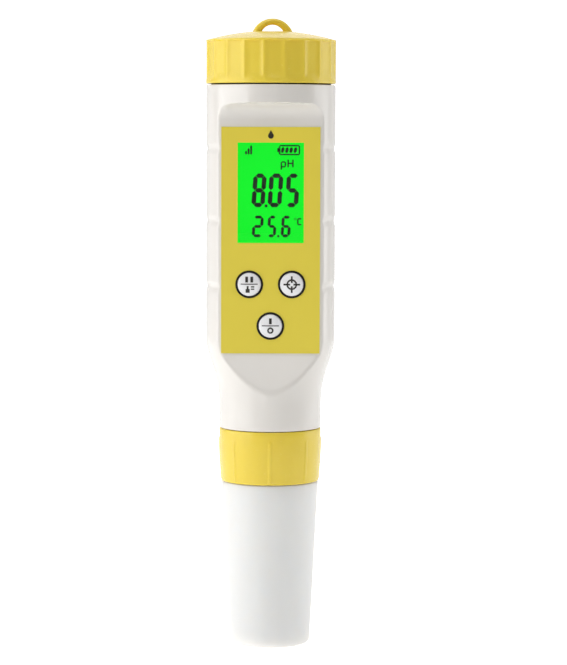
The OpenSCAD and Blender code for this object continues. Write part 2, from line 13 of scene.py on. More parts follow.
import bpy
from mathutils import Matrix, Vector


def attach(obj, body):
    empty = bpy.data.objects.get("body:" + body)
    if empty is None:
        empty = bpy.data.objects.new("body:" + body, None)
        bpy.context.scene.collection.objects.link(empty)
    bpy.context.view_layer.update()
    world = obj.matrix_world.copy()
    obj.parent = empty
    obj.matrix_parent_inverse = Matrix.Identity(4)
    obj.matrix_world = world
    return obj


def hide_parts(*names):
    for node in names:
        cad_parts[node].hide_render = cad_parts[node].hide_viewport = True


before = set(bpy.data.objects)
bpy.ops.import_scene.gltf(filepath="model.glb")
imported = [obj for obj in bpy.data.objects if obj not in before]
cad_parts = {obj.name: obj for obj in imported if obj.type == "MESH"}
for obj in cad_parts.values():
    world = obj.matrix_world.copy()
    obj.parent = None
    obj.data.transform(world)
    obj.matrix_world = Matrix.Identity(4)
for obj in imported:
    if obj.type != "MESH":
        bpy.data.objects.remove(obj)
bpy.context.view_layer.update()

log = logging.getLogger("ph_meter")

MM = 0.001
FULL_TURN = 2 * math.pi

Point = tuple[float, float]
Place = tuple[float, float, float]
Shaper = Callable[[Vector], Vector]


class Turn(Enum):
    """The axis that a turned piece is spun about, and how a drawn point lies beside it."""

    UPRIGHT = (0.0, 0.0, 1.0)
    FORWARD = (0.0, -1.0, 0.0)

    def place(self, radius: float, along: float) -> Vector:
        """Give the place in metres of a profile point.

        Args:
            radius: distance from the axis in mm.
            along: distance along the axis in mm.

        Returns:
            The point, in the plane through the axis that the spin starts from.
        """
        axis = Vector(self.value)
        return (Vector((1.0, 0.0, 0.0)) * radius + axis * along) * MM


class KeySign(Enum):
    """What each key is marked with: plain signs, no lettering."""

    HOLD = "hold"
    CAL = "cal"
    POWER = "power"


# ------------------------------------------------------------------ modelling


def clear_selection() -> None:
    """Leave edit mode and deselect everything."""
    if bpy.context.object and bpy.context.object.mode == "EDIT":
        bpy.ops.object.mode_set(mode="OBJECT")
    bpy.ops.object.select_all(action="DESELECT")


def pick(piece: bpy.types.Object) -> None:
    """Make one object the only one selected, and the active one."""
    clear_selection()
    piece.select_set(True)
    bpy.context.view_layer.objects.active = piece


def draw_line(name: str, places: Sequence[Vector]) -> bpy.types.Object:
    """Merge a new plane to one vertex and extrude that vertex through places.

    Args:
        name: name of the new piece.
        places: the points in metres, in order.

    Returns:
        The new object, in edit mode.
    """
    clear_selection()
    bpy.ops.mesh.primitive_plane_add(size=MM)
    piece = bpy.context.object
    piece.name = piece.data.name = name
    bpy.ops.object.mode_set(mode="EDIT")
    bpy.ops.mesh.select_all(action="SELECT")
    bpy.ops.mesh.merge(type="CENTER")
    bpy.ops.transform.translate(value=places[0])
    for here, there in zip(places, places[1:]):
        bpy.ops.mesh.extrude_region_move(TRANSFORM_OT_translate={"value": there - here})
    return piece


def close_seams(piece: bpy.types.Object, reach: float = 0.002) -> None:
    """Merge doubled points within a reach in mm, and turn every face outwards."""
    pick(piece)
    bpy.ops.object.mode_set(mode="EDIT")
    bpy.ops.mesh.select_all(action="SELECT")
    bpy.ops.mesh.remove_doubles(threshold=reach * MM)
    bpy.ops.mesh.normals_make_consistent(inside=False)
    bpy.ops.object.mode_set(mode="OBJECT")


def smooth(piece: bpy.types.Object, angle: float = 32.0) -> None:
    """Shade a piece smooth where its faces meet at less than an angle in degrees."""
    pick(piece)
    bpy.ops.object.shade_smooth_by_angle(angle=math.radians(angle))


def lathe(
    name: str,
    profile: Sequence[Point],
    steps: int = 128,
    turn: Turn = Turn.UPRIGHT,
    centre: Place = (0.0, 0.0, 0.0),
) -> bpy.types.Object:
    """Spin a drawn profile once round an axis.

    Args:
        name: name of the new piece.
        profile: points as (radius, distance along the axis) in mm. It ends where it starts, or on the axis.
        steps: number of steps in the turn.
        turn: which axis the profile is spun about.
        centre: a point of the axis, in mm.

    Returns:
        The closed solid of revolution, in object mode.
    """
    origin = Vector(centre) * MM
    piece = draw_line(name, [origin + turn.place(radius, along) for radius, along in profile])
    bpy.ops.mesh.select_all(action="SELECT")
    bpy.ops.mesh.spin(steps=steps, angle=FULL_TURN, center=origin, axis=turn.value)
    close_seams(piece)
    smooth(piece)
    return piece


def shape(piece: bpy.types.Object, shaper: Shaper) -> None:
    """Move every vertex of a piece by a rule, in mm.

    Args:
        piece: the mesh object.
        shaper: takes a vertex's place in mm and gives its new place in mm.
    """
    for vertex in piece.data.vertices:
        vertex.co = shaper(vertex.co / MM) * MM
    piece.data.update()


def apply_modifier(piece: bpy.types.Object, kind: str, **settings: object) -> None:
    """Add a modifier with its settings and apply it.

    Args:
        piece: the object it works on.
        kind: Blender's name of the modifier.
        settings: its fields and their values.
    """
    pick(piece)
    modifier = piece.modifiers.new(kind.lower(), kind)
    for key, value in settings.items():
        setattr(modifier, key, value)
    bpy.ops.object.modifier_apply(modifier=modifier.name)


def round_edges(piece: bpy.types.Object, width: float, segments: int = 3, angle: float = 35.0) -> None:
    """Bevel the edges of a piece that are sharper than an angle in degrees; width is in mm."""
    apply_modifier(
        piece,
        "BEVEL",
        width=width * MM,
        segments=segments,
        limit_method="ANGLE",
        angle_limit=math.radians(angle),
        use_clamp_overlap=True,
    )
    smooth(piece, 50)
    apply_modifier(piece, "WEIGHTED_NORMAL", weight=100, keep_sharp=True)


def cut(piece: bpy.types.Object, *tools: bpy.types.Object) -> None:
    """Cut tools out of a piece and remove them.

    Args:
        piece: what is cut.
        tools: closed solids that are taken away.
    """
    for tool in tools:
        apply_modifier(piece, "BOOLEAN", operation="DIFFERENCE", solver="EXACT", object=tool)
        bpy.data.objects.remove(tool)


def join(name: str, pieces: Sequence[bpy.types.Object]) -> bpy.types.Object:
    """Join pieces into one object.

    Args:
        name: name of the joined piece.
        pieces: the objects, which become one.

    Returns:
        The joined object.
    """
    clear_selection()
    for piece in pieces:
        piece.select_set(True)
    bpy.context.view_layer.objects.active = pieces[0]
    if len(pieces) > 1:
        bpy.ops.object.join()
    joined = bpy.context.object
    joined.name = joined.data.name = name
    return joined


def block(name: str, low: Place, high: Place) -> bpy.types.Object:
    """Add a box between two corners in mm.

    Args:
        name: name of the new piece.
        low: its lowest corner.
        high: its highest corner.

    Returns:
        The box, with its place in its mesh.
    """
    clear_selection()
    middle = [(a + b) / 2 * MM for a, b in zip(low, high)]
    bpy.ops.mesh.primitive_cube_add(size=1, location=middle)
    piece = bpy.context.object
    piece.name = piece.data.name = name
    piece.scale = [(b - a) * MM for a, b in zip(low, high)]
    bpy.ops.object.transform_apply(location=True, rotation=True, scale=True)
    return piece


def plate(name: str, outline: Sequence[Point], front: float, thick: float) -> bpy.types.Object:
    """Make a flat plate that faces the front from its outline.

    Args:
        name: name of the new piece.
        outline: its corners as (x, z) in mm, in order.
        front: distance of its face from the axis, in mm.
        thick: its thickness in mm.

    Returns:
        The closed plate.
    """
    piece = draw_line(name, [Vector((x, -front, z)) * MM for x, z in outline])
    bpy.ops.mesh.select_all(action="SELECT")
    bpy.ops.mesh.edge_face_add()
    bpy.ops.mesh.extrude_region_move(TRANSFORM_OT_translate={"value": Vector((0, thick, 0)) * MM})
    close_seams(piece, 0.0005)
    return piece


def key_tools(places: Iterable[Point], radius: float) -> list[bpy.types.Object]:
    """Make a round tool for each key's hole, long enough to pass the panel; the radius is in mm."""
    section = [(0, 8), (radius, 8), (radius, 20), (0, 20)]
    return [lathe("key_tool", section, 64, Turn.FORWARD, (x, 0, z)) for x, z in places]


def screw_thread(
    name: str, root: float, crest: float, foot_z: float, turns: float, lead: float, start: float
) -> bpy.types.Object:
    """Sweep one thread ridge round the axis, its two ends run out into the wall.

    Args:
        name: name of the new piece.
        root: radius of the wall it stands on, in mm.
        crest: radius of its crest, in mm.
        foot_z: height of its middle where it starts, in mm.
        turns: how often it goes round.
        lead: its rise in one turn, in mm.
        start: the angle where it starts, in degrees.

    Returns:
        The closed ridge.
    """
    sunk, half_foot, half_crest, steps_per_turn, fade = 0.2, 0.55, 0.25, 64, 16.0
    out = math.copysign(1, crest - root)
    foot = root - out * sunk
    section = [(foot, -half_foot), (crest, -half_crest), (crest, half_crest), (foot, half_foot)]
    section.append(section[0])
    ridge = draw_line(name, [Vector((r, 0, z)) * MM for r, z in section])
    bpy.ops.mesh.select_all(action="SELECT")
    bpy.ops.mesh.remove_doubles(threshold=1e-6)
    bpy.ops.object.mode_set(mode="OBJECT")
    apply_modifier(
        ridge,
        "SCREW",
        axis="Z",
        angle=FULL_TURN * turns,
        screw_offset=lead * turns * MM,
        steps=round(steps_per_turn * turns),
        render_steps=round(steps_per_turn * turns),
        use_merge_vertices=False,
        use_smooth_shade=True,
    )
    pick(ridge)
    bpy.ops.object.mode_set(mode="EDIT")
    bpy.ops.mesh.select_all(action="DESELECT")
    bpy.ops.mesh.select_non_manifold()
    bpy.ops.mesh.fill()
    bpy.ops.object.mode_set(mode="OBJECT")

    def run_out(place: Vector) -> Vector:
        """Turn the ridge to its start and sink its ends."""
        around = math.degrees(math.atan2(place.y, place.x)) % 360
        lap = round((place.z / lead * 360 - around) / 360) * 360 + around
        from_end = min(lap, turns * 360 - lap)
        level = min(1.0, max(0.0, from_end / fade))
        radius = math.hypot(place.x, place.y)
        radius = foot + (radius - foot) * (0.15 + 0.85 * level)
        angle = math.radians(lap + start)
        return Vector((radius * math.cos(angle), radius * math.sin(angle), place.z + foot_z))

    shape(ridge, run_out)
    close_seams(ridge, 0.0005)
    return ridge


# ------------------------------------------------------------------ finishes


def linear(colour: str) -> tuple[float, float, float, float]:
    """Turn an sRGB hex colour into Blender's linear colour.

    Args:
        colour: six hex digits after a hash.

    Returns:
        Red, green, blue and alpha, from 0 to 1.
    """
    parts = [int(colour[i : i + 2], 16) / 255 for i in (1, 3, 5)]
    red, green, blue = (p / 12.92 if p <= 0.04045 else ((p + 0.055) / 1.055) ** 2.4 for p in parts)
    return red, green, blue, 1.0


def add_node(
    tree: bpy.types.NodeTree,
    kind: str,
    settings: dict[str, object] | None = None,
    values: dict[str | int, object] | None = None,
    links: dict[str | int, bpy.types.NodeSocket] | None = None,
) -> bpy.types.Node:
    """Add a node with its settings, its sockets' values and its links.

    Args:
        tree: the node tree.
        kind: Blender's name of the node.
        settings: fields of the node.
        values: constant values of its inputs.
        links: outputs of other nodes that feed its inputs.

    Returns:
        The new node.
    """
    node = tree.nodes.new(kind)
    for key, value in (settings or {}).items():
        setattr(node, key, value)
    for key, value in (values or {}).items():
        node.inputs[key].default_value = value
    for key, source in (links or {}).items():
        tree.links.new(source, node.inputs[key])
    return node


class Shading:
    """A material being built: its tree, its shader node and the piece's own coordinates."""

    def __init__(self, name: str) -> None:
        """Start a material with the finish's name."""
        self.material = bpy.data.materials.new(name)
        self.material.use_nodes = True
        self.tree = self.material.node_tree
        self.shader = self.tree.nodes["Principled BSDF"]
        self.place = add_node(self.tree, "ShaderNodeTexCoord").outputs["Object"]

    def set(self, **values: object) -> None:
        """Give the shader constants; an underscore in a name stands for a space."""
        for key, value in values.items():
            self.shader.inputs[key.replace("_", " ")].default_value = value

    def link(self, source: bpy.types.NodeSocket, key: str) -> None:
        """Feed one of the shader's inputs from another node."""
        self.tree.links.new(source, self.shader.inputs[key])

    def noise(
        self, size_mm: float, detail: float, along: bpy.types.NodeSocket | None = None
    ) -> bpy.types.NodeSocket:
        """Give a cloudy pattern with features of a size in mm."""
        values = {"Scale": per_metre(size_mm), "Detail": detail}
        cloud = add_node(self.tree, "ShaderNodeTexNoise", {}, values, {"Vector": along or self.place})
        return cloud.outputs["Fac"]

    def blend(self, factor: bpy.types.NodeSocket, low: str, high: str) -> bpy.types.NodeSocket:
        """Mix two hex colours by a pattern."""
        colours = {"A": linear(low), "B": linear(high)}
        mix = add_node(self.tree, "ShaderNodeMix", {"data_type": "RGBA"}, colours, {"Factor": factor})
        return mix.outputs["Result"]

    def spread(self, factor: bpy.types.NodeSocket, low: float, high: float) -> None:
        """Let the roughness vary between two values by a pattern."""
        values = {"To Min": low, "To Max": high}
        rough = add_node(self.tree, "ShaderNodeMapRange", {}, values, {"Value": factor})
        self.link(rough.outputs["Result"], "Roughness")

    def relief(self, height: bpy.types.NodeSocket, strength: float, depth_mm: float) -> None:
        """Raise the surface a little by a pattern."""
        values = {"Strength": strength, "Distance": depth_mm * MM}
        bump = add_node(self.tree, "ShaderNodeBump", {}, values, {"Height": height})
        self.link(bump.outputs["Normal"], "Normal")


def per_metre(size_mm: float) -> float:
    """Give a texture's scale for a feature of a size in mm."""
    return 1 / (size_mm * MM)


@dataclass(frozen=True)
class MouldedPlastic:
    """Injection-moulded plastic: an even, faintly cloudy colour and a polished tool's slight waviness."""

    name: str
    colour: str
    shade: str
    roughness: float = 0.22
    ior: float = 1.54
    cloud_mm: float = 14.0
    grain_mm: float = 0.5
    grain_depth: float = 0.02
    roughness_spread: float = 0.04
    subsurface: float = 0.0
    depth_mm: float = 1.5
    coat: float = 0.0

    def make(self) -> bpy.types.Material:
        """Build the material."""
        look = Shading(self.name)
        grain = look.noise(self.grain_mm, 4.0)
        look.link(look.blend(look.noise(self.cloud_mm, 3.0), self.colour, self.shade), "Base Color")
        look.spread(grain, self.roughness - self.roughness_spread, self.roughness + self.roughness_spread)
        look.relief(grain, 0.5, self.grain_depth)
        look.set(IOR=self.ior, Coat_Weight=self.coat, Coat_Roughness=0.08)
        look.set(Subsurface_Weight=self.subsurface, Subsurface_Scale=self.depth_mm * MM)
        look.set(Subsurface_Radius=(1.0, 0.9, 0.8))
        return look.material


@dataclass(frozen=True)
class WorkedMetal:
    """Metal with fine marks round or along it, from turning, drawing or plating."""

    name: str
    colour: str
    roughness: float = 0.3
    mark_mm: float = 0.12
    stretch: tuple[float, float, float] = (1.0, 1.0, 8.0)

    def make(self) -> bpy.types.Material:
        """Build the material."""
        look = Shading(self.name)
        along = add_node(look.tree, "ShaderNodeMapping", {}, {"Scale": self.stretch}, {"Vector": look.place})
        marks = look.noise(self.mark_mm * max(self.stretch), 5.0, along.outputs["Vector"])
        look.spread(marks, self.roughness * 0.7, self.roughness * 1.3)
        look.relief(marks, 0.4, 0.01)
        look.set(Base_Color=linear(self.colour), Metallic=1.0)
        return look.material


@dataclass(frozen=True)
class ClearSheet:
    """Clear acrylic or blown glass: see-through, with a faint smear in its gloss."""

    name: str
    tint: str
    ior: float
    roughness: float = 0.03
    gloss: float = 0.5

    def make(self) -> bpy.types.Material:
        """Build the material."""
        look = Shading(self.name)
        look.spread(look.noise(6.0, 2.0), 0.0, self.roughness)
        look.set(Base_Color=linear(self.tint), IOR=self.ior)
        look.set(Transmission_Weight=1.0, Specular_IOR_Level=self.gloss)
        return look.material


@dataclass(frozen=True)
class BacklitGlass:
    """Liquid crystal glass lit from behind: an even glow that falls off a little towards its edges."""

    name: str
    glow: str
    edge_glow: str
    strength: float
    centre: Place
    reach_mm: float

    def make(self) -> bpy.types.Material:
        """Build the material."""
        look = Shading(self.name)
        values = {"Location": [-c / self.reach_mm for c in self.centre]}
        values["Scale"] = [per_metre(self.reach_mm)] * 3
        middle = add_node(look.tree, "ShaderNodeMapping", {}, values, {"Vector": look.place}).outputs["Vector"]
        kind = {"gradient_type": "QUADRATIC_SPHERE"}
        falloff = add_node(look.tree, "ShaderNodeTexGradient", kind, {}, {"Vector": middle})
        look.link(look.blend(falloff.outputs["Fac"], self.edge_glow, self.glow), "Emission Color")
        look.set(Base_Color=linear("#02150a"), Roughness=0.35, Specular_IOR_Level=0.1)
        look.set(Emission_Strength=self.strength)
        return look.material


@dataclass(frozen=True)
class BoardLaminate:
    """Solder mask over woven glass epoxy: green, with a fine weave and copper tracks under the mask."""

    name: str
    mask: str
    track: str

    def make(self) -> bpy.types.Material:
        """Build the material."""
        look = Shading(self.name)
        values = {"Color1": linear(self.mask), "Color2": linear(self.mask), "Mortar": linear(self.track)}
        values |= {"Scale": per_metre(2.6), "Mortar Size": 0.03, "Brick Width": 1.7, "Row Height": 0.45}
        tracks = add_node(look.tree, "ShaderNodeTexBrick", {"offset": 0.5}, values, {"Vector": look.place})
        values = {"Scale": per_metre(1.2)}
        weave = add_node(look.tree, "ShaderNodeTexWave", {"wave_type": "BANDS"}, values, {"Vector": look.place})
        look.link(tracks.outputs["Color"], "Base Color")
        look.relief(weave.outputs["Fac"], 0.3, 0.02)
        look.set(Roughness=0.35)
        return look.material


@dataclass(frozen=True)
class OpenFoam:
    """Open-cell sponge: pale, with round pores whose darker colour is painted shade in the hollows."""

    name: str
    colour: str
    pore_shade: str
    pore_mm: float = 0.9

    def make(self) -> bpy.types.Material:
        """Build the material."""
        look = Shading(self.name)
        values = {"Scale": per_metre(self.pore_mm)}
        cells = add_node(look.tree, "ShaderNodeTexVoronoi", {}, values, {"Vector": look.place}).outputs["Distance"]
        # the pores' darker colour is painted shade where the cells dip in
        look.link(look.blend(cells, self.pore_shade, self.colour), "Base Color")
        look.relief(cells, 0.9, 0.4)
        look.set(Roughness=0.95)
        return look.material


FINISHES = {
    finish.name: finish
    for finish in (
        # polished tool, pure white pigment: clear reflections and a warm, faintly translucent body
        MouldedPlastic("white_abs", "#ece8e2", "#e8e4de", 0.17, 1.6, subsurface=0.08, depth_mm=0.8),
        # the same plastic in a warm lemon pigment
        MouldedPlastic("yellow_abs", "#f3d950", "#edd048", 0.26, 1.48, subsurface=0.3, depth_mm=1.5),
        # polyester film printed on its back, with a satin face that spreads the reflections
        MouldedPlastic("label_film", "#edd947", "#ead644", 0.42, 1.58, grain_mm=0.25, grain_depth=0.012),
        # the window carries an anti-glare coat, so it mirrors little
        ClearSheet("clear_acrylic", "#f6fbf6", 1.49, 0.02, 0.12),
        MouldedPlastic("display_ink", "#011c04", "#021503", 0.5, grain_depth=0.0),
        BacklitGlass("display_glass", "#00fa28", "#00f226", 1.05, (0.0, -9.7, 135.5), 40.0),
        MouldedPlastic("light_guide", "#e6f3e4", "#dcecd9", 0.3, subsurface=0.3),
        MouldedPlastic("grey_elastomer", "#59595c", "#4c4c50", 0.7),
        MouldedPlastic("black_silicone", "#0e0a07", "#090604", 0.6, 1.4, grain_mm=0.3, roughness_spread=0.08),
        MouldedPlastic("key_white", "#fcfbfc", "#f8f7f9", 0.2, 1.5, subsurface=0.15, coat=0.3),
        MouldedPlastic("black_abs", "#232325", "#1c1c1e", 0.45, grain_mm=0.35),
        WorkedMetal("zinc_steel", "#bcbfc4", 0.34),
        BoardLaminate("circuit_board", "#0d4a25", "#1c6b3a"),
        MouldedPlastic("chip_epoxy", "#17171a", "#111113", 0.6, grain_mm=0.2, grain_depth=0.03),
        WorkedMetal("shield_can", "#c6c9cc", 0.28, stretch=(8.0, 1.0, 1.0)),
        WorkedMetal("cell_nickel", "#d0cfcb", 0.24),
        WorkedMetal("spring_brass", "#d3ac5c", 0.3),
        # glass-filled plastic of the probe, drawn a little coarser than it is so that it shows
        MouldedPlastic("probe_plastic", "#38393c", "#303134", 0.38, grain_mm=0.4, grain_depth=0.03),
        ClearSheet("electrode_glass", "#eef8f4", 1.52, 0.02),
        WorkedMetal("silver_metal", "#c9c7c0", 0.45),
        MouldedPlastic("porous_ceramic", "#ece8df", "#ddd8cd", 0.9, grain_mm=0.25, grain_depth=0.08),
        WorkedMetal("stainless_steel", "#c2c1bd", 0.26),
        WorkedMetal("gold_plate", "#e3bd62", 0.2),
        # thin milky polypropylene: waxy gloss, and light that bleeds a few millimetres through it
        MouldedPlastic(
            "milky_polypropylene", "#faf5ef", "#f6f1eb", 0.34, 1.45, grain_mm=0.7, subsurface=0.8, depth_mm=5.0
        ),
        # the sponge's pale colour, then the painted shade for its pores
        OpenFoam("sponge_foam", "#e6d795", "#a98f4c"),
        MouldedPlastic("sign_print", "#2b2722", "#24201c", 0.45, grain_depth=0.0),
        MouldedPlastic("mark_print", "#262313", "#1f1c10", 0.42, grain_depth=0.0),
    )
}


class Wardrobe:
    """Makes each finish once and dresses pieces with it."""

    def __init__(self) -> None:
        """Start with nothing made."""
        self.made: dict[str, bpy.types.Material] = {}

    def material(self, finish: str) -> bpy.types.Material:
        """Give the material of a finish, making it the first time."""
        if finish not in self.made:
            self.made[finish] = FINISHES[finish].make()
        return self.made[finish]

    def dress(self, piece: bpy.types.Object, finish: str) -> None:
        """Put one finish all over a piece."""
        piece.data.materials.clear()
        piece.data.materials.append(self.material(finish))

    def dress_node(self, node: str, finish: str) -> None:
        """Put one finish on a CAD node by filling its material slots."""
        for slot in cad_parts[node].material_slots:
            slot.material = self.material(finish)


def place_piece(
    piece: bpy.types.Object, wardrobe: Wardrobe, finish: str, body: str, *nodes: str, slot: str | None = None
) -> None:
    """Dress a finished piece, let it ride on its body and hide the nodes that it replaces.

    Args:
        piece: the finished mesh.
        wardrobe: where its finish comes from.
        finish: name of the finish.
        body: name of the body that carries it.
        nodes: CAD nodes that it replaces.
        slot: the record's material slot, if it isn't named like the finish; not used.
    """
    wardrobe.dress(piece, finish)
    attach(piece, body)
    if nodes:
        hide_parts(*nodes)
    log.info("%s: %d faces, on %s", piece.name, len(piece.data.polygons), body)


# ------------------------------------------------------------------ sub-assemblies


def arc(centre: Point, radius: float, start: float, end: float, steps: int) -> list[Point]:
    """Give points along an arc.

    Args:
        centre: its centre.
        radius: its radius.
        start: where it starts, in degrees.
        end: where it ends, in degrees.
        steps: number of steps.

    Returns:
        steps + 1 points.
    """
    angles = [math.radians(start + (end - start) * i / steps) for i in range(steps + 1)]
    return [(centre[0] + radius * math.cos(a), centre[1] + radius * math.sin(a)) for a in angles]


def rise(value: float) -> float:
    """Ease from 0 to 1 with flat ends, and stay there outside."""
    value = min(1.0, max(0.0, value))
    return value * value * (3 - 2 * value)


def soft_min(a: float, b: float, width: float) -> float:
    """Give the lesser of two values, with a round blend where they are closer than a width."""
    near = max(width - abs(a - b), 0.0) / width
    return min(a, b) - near * near * width / 4


def levels(start: float, end: float, step: float) -> list[float]:
    """Give even heights from start up to, but not including, end, no further apart than step."""
    count = max(1, math.ceil((end - start) / step - 1e-6))
    return [start + (end - start) * i / count for i in range(count)]


@dataclass
class Handle:
    """The white handle: a turned tube with a waist, grip valleys and a flat panel cut under a hood."""

    radius: float = 19.2
    waist: float = 15.2
    bottom: float = 65.2
    top: float = 167.3
    wall: float = 2.0
    curve_start: float = 71.0
    curve_end: float = 92.0
    curve_power: float = 1.35
    valleys: tuple[float, ...] = (107.6, 127.2, 148.5)
    valley_depth: float = 0.3
    valley_half: float = 1.9
    flat: float = 11.35
    front_wall: float = 9.75
    hood_radius: float = 5.0
    hood_start: float = 156.8
    lip_turn: float = 0.985
    lip_slope: float = 14.0
    ramp_top: float = 88.0
    ramp_slope: float = 4.25 / 11.8
    rim: float = 0.6
    spigot: float = 12.6
    spigot_bottom: float = 55.0
    bore: float = 10.9
    socket_floor: float = 66.5
    socket_seat: float = 12.8
    plug_floor: float = 163.5
    window: tuple[float, float, float, float] = (-10.0, 120.55, 10.0, 150.55)
    key_hole: float = 4.1
    keys: dict[KeySign, Point] = field(
        default_factory=lambda: {
            KeySign.HOLD: (-6.27, 108.6),
            KeySign.CAL: (6.27, 108.6),
            KeySign.POWER: (0.0, 96.3),
        }
    )

    def outer_radius(self, z: float) -> float:
        """Give the radius of the turned outside at a height."""
        t = min(1.0, max(0.0, (z - self.curve_start) / (self.curve_end - self.curve_start)))
        radius = self.waist + (self.radius - self.waist) * rise(t**self.curve_power)
        for valley in self.valleys:
            gap = abs(z - valley)
            if gap < self.valley_half:
                radius -= self.valley_depth / 2 * (1 + math.cos(math.pi * gap / self.valley_half))
        return radius

    def panel_distance(self, z: float) -> float:
        """Give how far the cut front surface lies from the axis at a height."""
        if z < self.ramp_top:
            return self.flat + (self.ramp_top - z) * self.ramp_slope
        if z <= self.hood_start:
            return self.flat
        climb = (z - self.hood_start) / self.hood_radius
        # the hollow curve runs almost to its end, then breaks outwards
        turned = min(climb, self.lip_turn)
        lip = self.flat + self.hood_radius * (1 - math.sqrt(1 - turned * turned))
        return lip + (climb - turned) * self.hood_radius * self.lip_slope

    def outside(self, place: Vector) -> Vector:
        """Press the turned outside back to the panel, with a round rim."""
        around = math.hypot(place.x, place.y)
        z = place.z
        if z < self.curve_start or around < 1e-6 or place.y > 0:
            return place
        facing = -place.y / around
        if facing < 0.05:
            return place
        inner = around < self.outer_radius(z) - 0.8
        if inner:
            limit = self.front_wall / facing
            pressed = min(around, limit) if z < self.plug_floor - 0.05 else around
        else:
            pressed = soft_min(around, self.panel_distance(z) / facing, self.rim)
        return Vector((place.x * pressed / around, place.y * pressed / around, z))

    def profile(self) -> list[Point]:
        """Draw the closed section of the tube's wall, bottom to top outside and back down inside."""
        heights = levels(self.curve_start, self.curve_end, 0.42)
        edge = self.curve_end
        for valley in self.valleys:
            heights += levels(edge, valley - self.valley_half, 3.0)
            heights += levels(valley - self.valley_half, valley + self.valley_half, 0.32)
            edge = valley + self.valley_half
        # the closest rings lie round the lip over the hood
        bands = [(self.hood_start, 1.5), (160.5, 0.35), (161.4, 0.2), (162.4, 0.08), (163.4, 0.3)]
        bands.append((self.top - 0.4, 1.2))
        for end, step in bands:
            heights += levels(edge, end, step)
            edge = end
        outside = [(self.outer_radius(z), z) for z in heights]
        bottom = [
            (self.bore, self.spigot_bottom),
            (self.spigot - 0.3, self.spigot_bottom),
            (self.spigot, self.spigot_bottom + 0.3),
            (self.spigot, self.bottom),
        ]
        bottom += arc((self.waist - 0.35, self.bottom + 0.35), 0.35, -90, 0, 4)
        bottom += [(self.waist, self.bottom + 2), (self.waist, self.bottom + 4)]
        top = arc((self.radius - 0.4, self.top - 0.4), 0.4, 0, 90, 4)
        cavity = self.radius - self.wall
        inside = [(cavity, self.top), (cavity, self.plug_floor + 0.1), (cavity, self.plug_floor - 0.1)]
        for z in reversed(levels(self.curve_start + 2, self.plug_floor - 1, 3.0)):
            inside.append((max(self.socket_seat, min(cavity, self.outer_radius(z) - self.wall)), z))
        inside += [(self.socket_seat, self.socket_floor), (self.bore, self.socket_floor)]
        return bottom + outside + top + inside + [bottom[0]]

    def build(self, wardrobe: Wardrobe) -> None:
        """Model the handle and put it in place of its node."""
        shell = lathe("handle_shell", self.profile(), 400)
        shape(shell, self.outside)
        left, low, right, high = self.window
        tool = block("window_tool", (left - 0.05, -20, low - 0.05), (right + 0.05, -8, high + 0.05))
        cut(shell, tool, *key_tools(self.keys.values(), self.key_hole))
        smooth(shell, 38)
        thread = screw_thread("spigot_thread", self.spigot, 13.3, 57.3, 1.75, 3.0, 0)
        shell = join("handle_shell", [shell, thread])
        place_piece(shell, wardrobe, "white_abs", "handle", "body_shell")


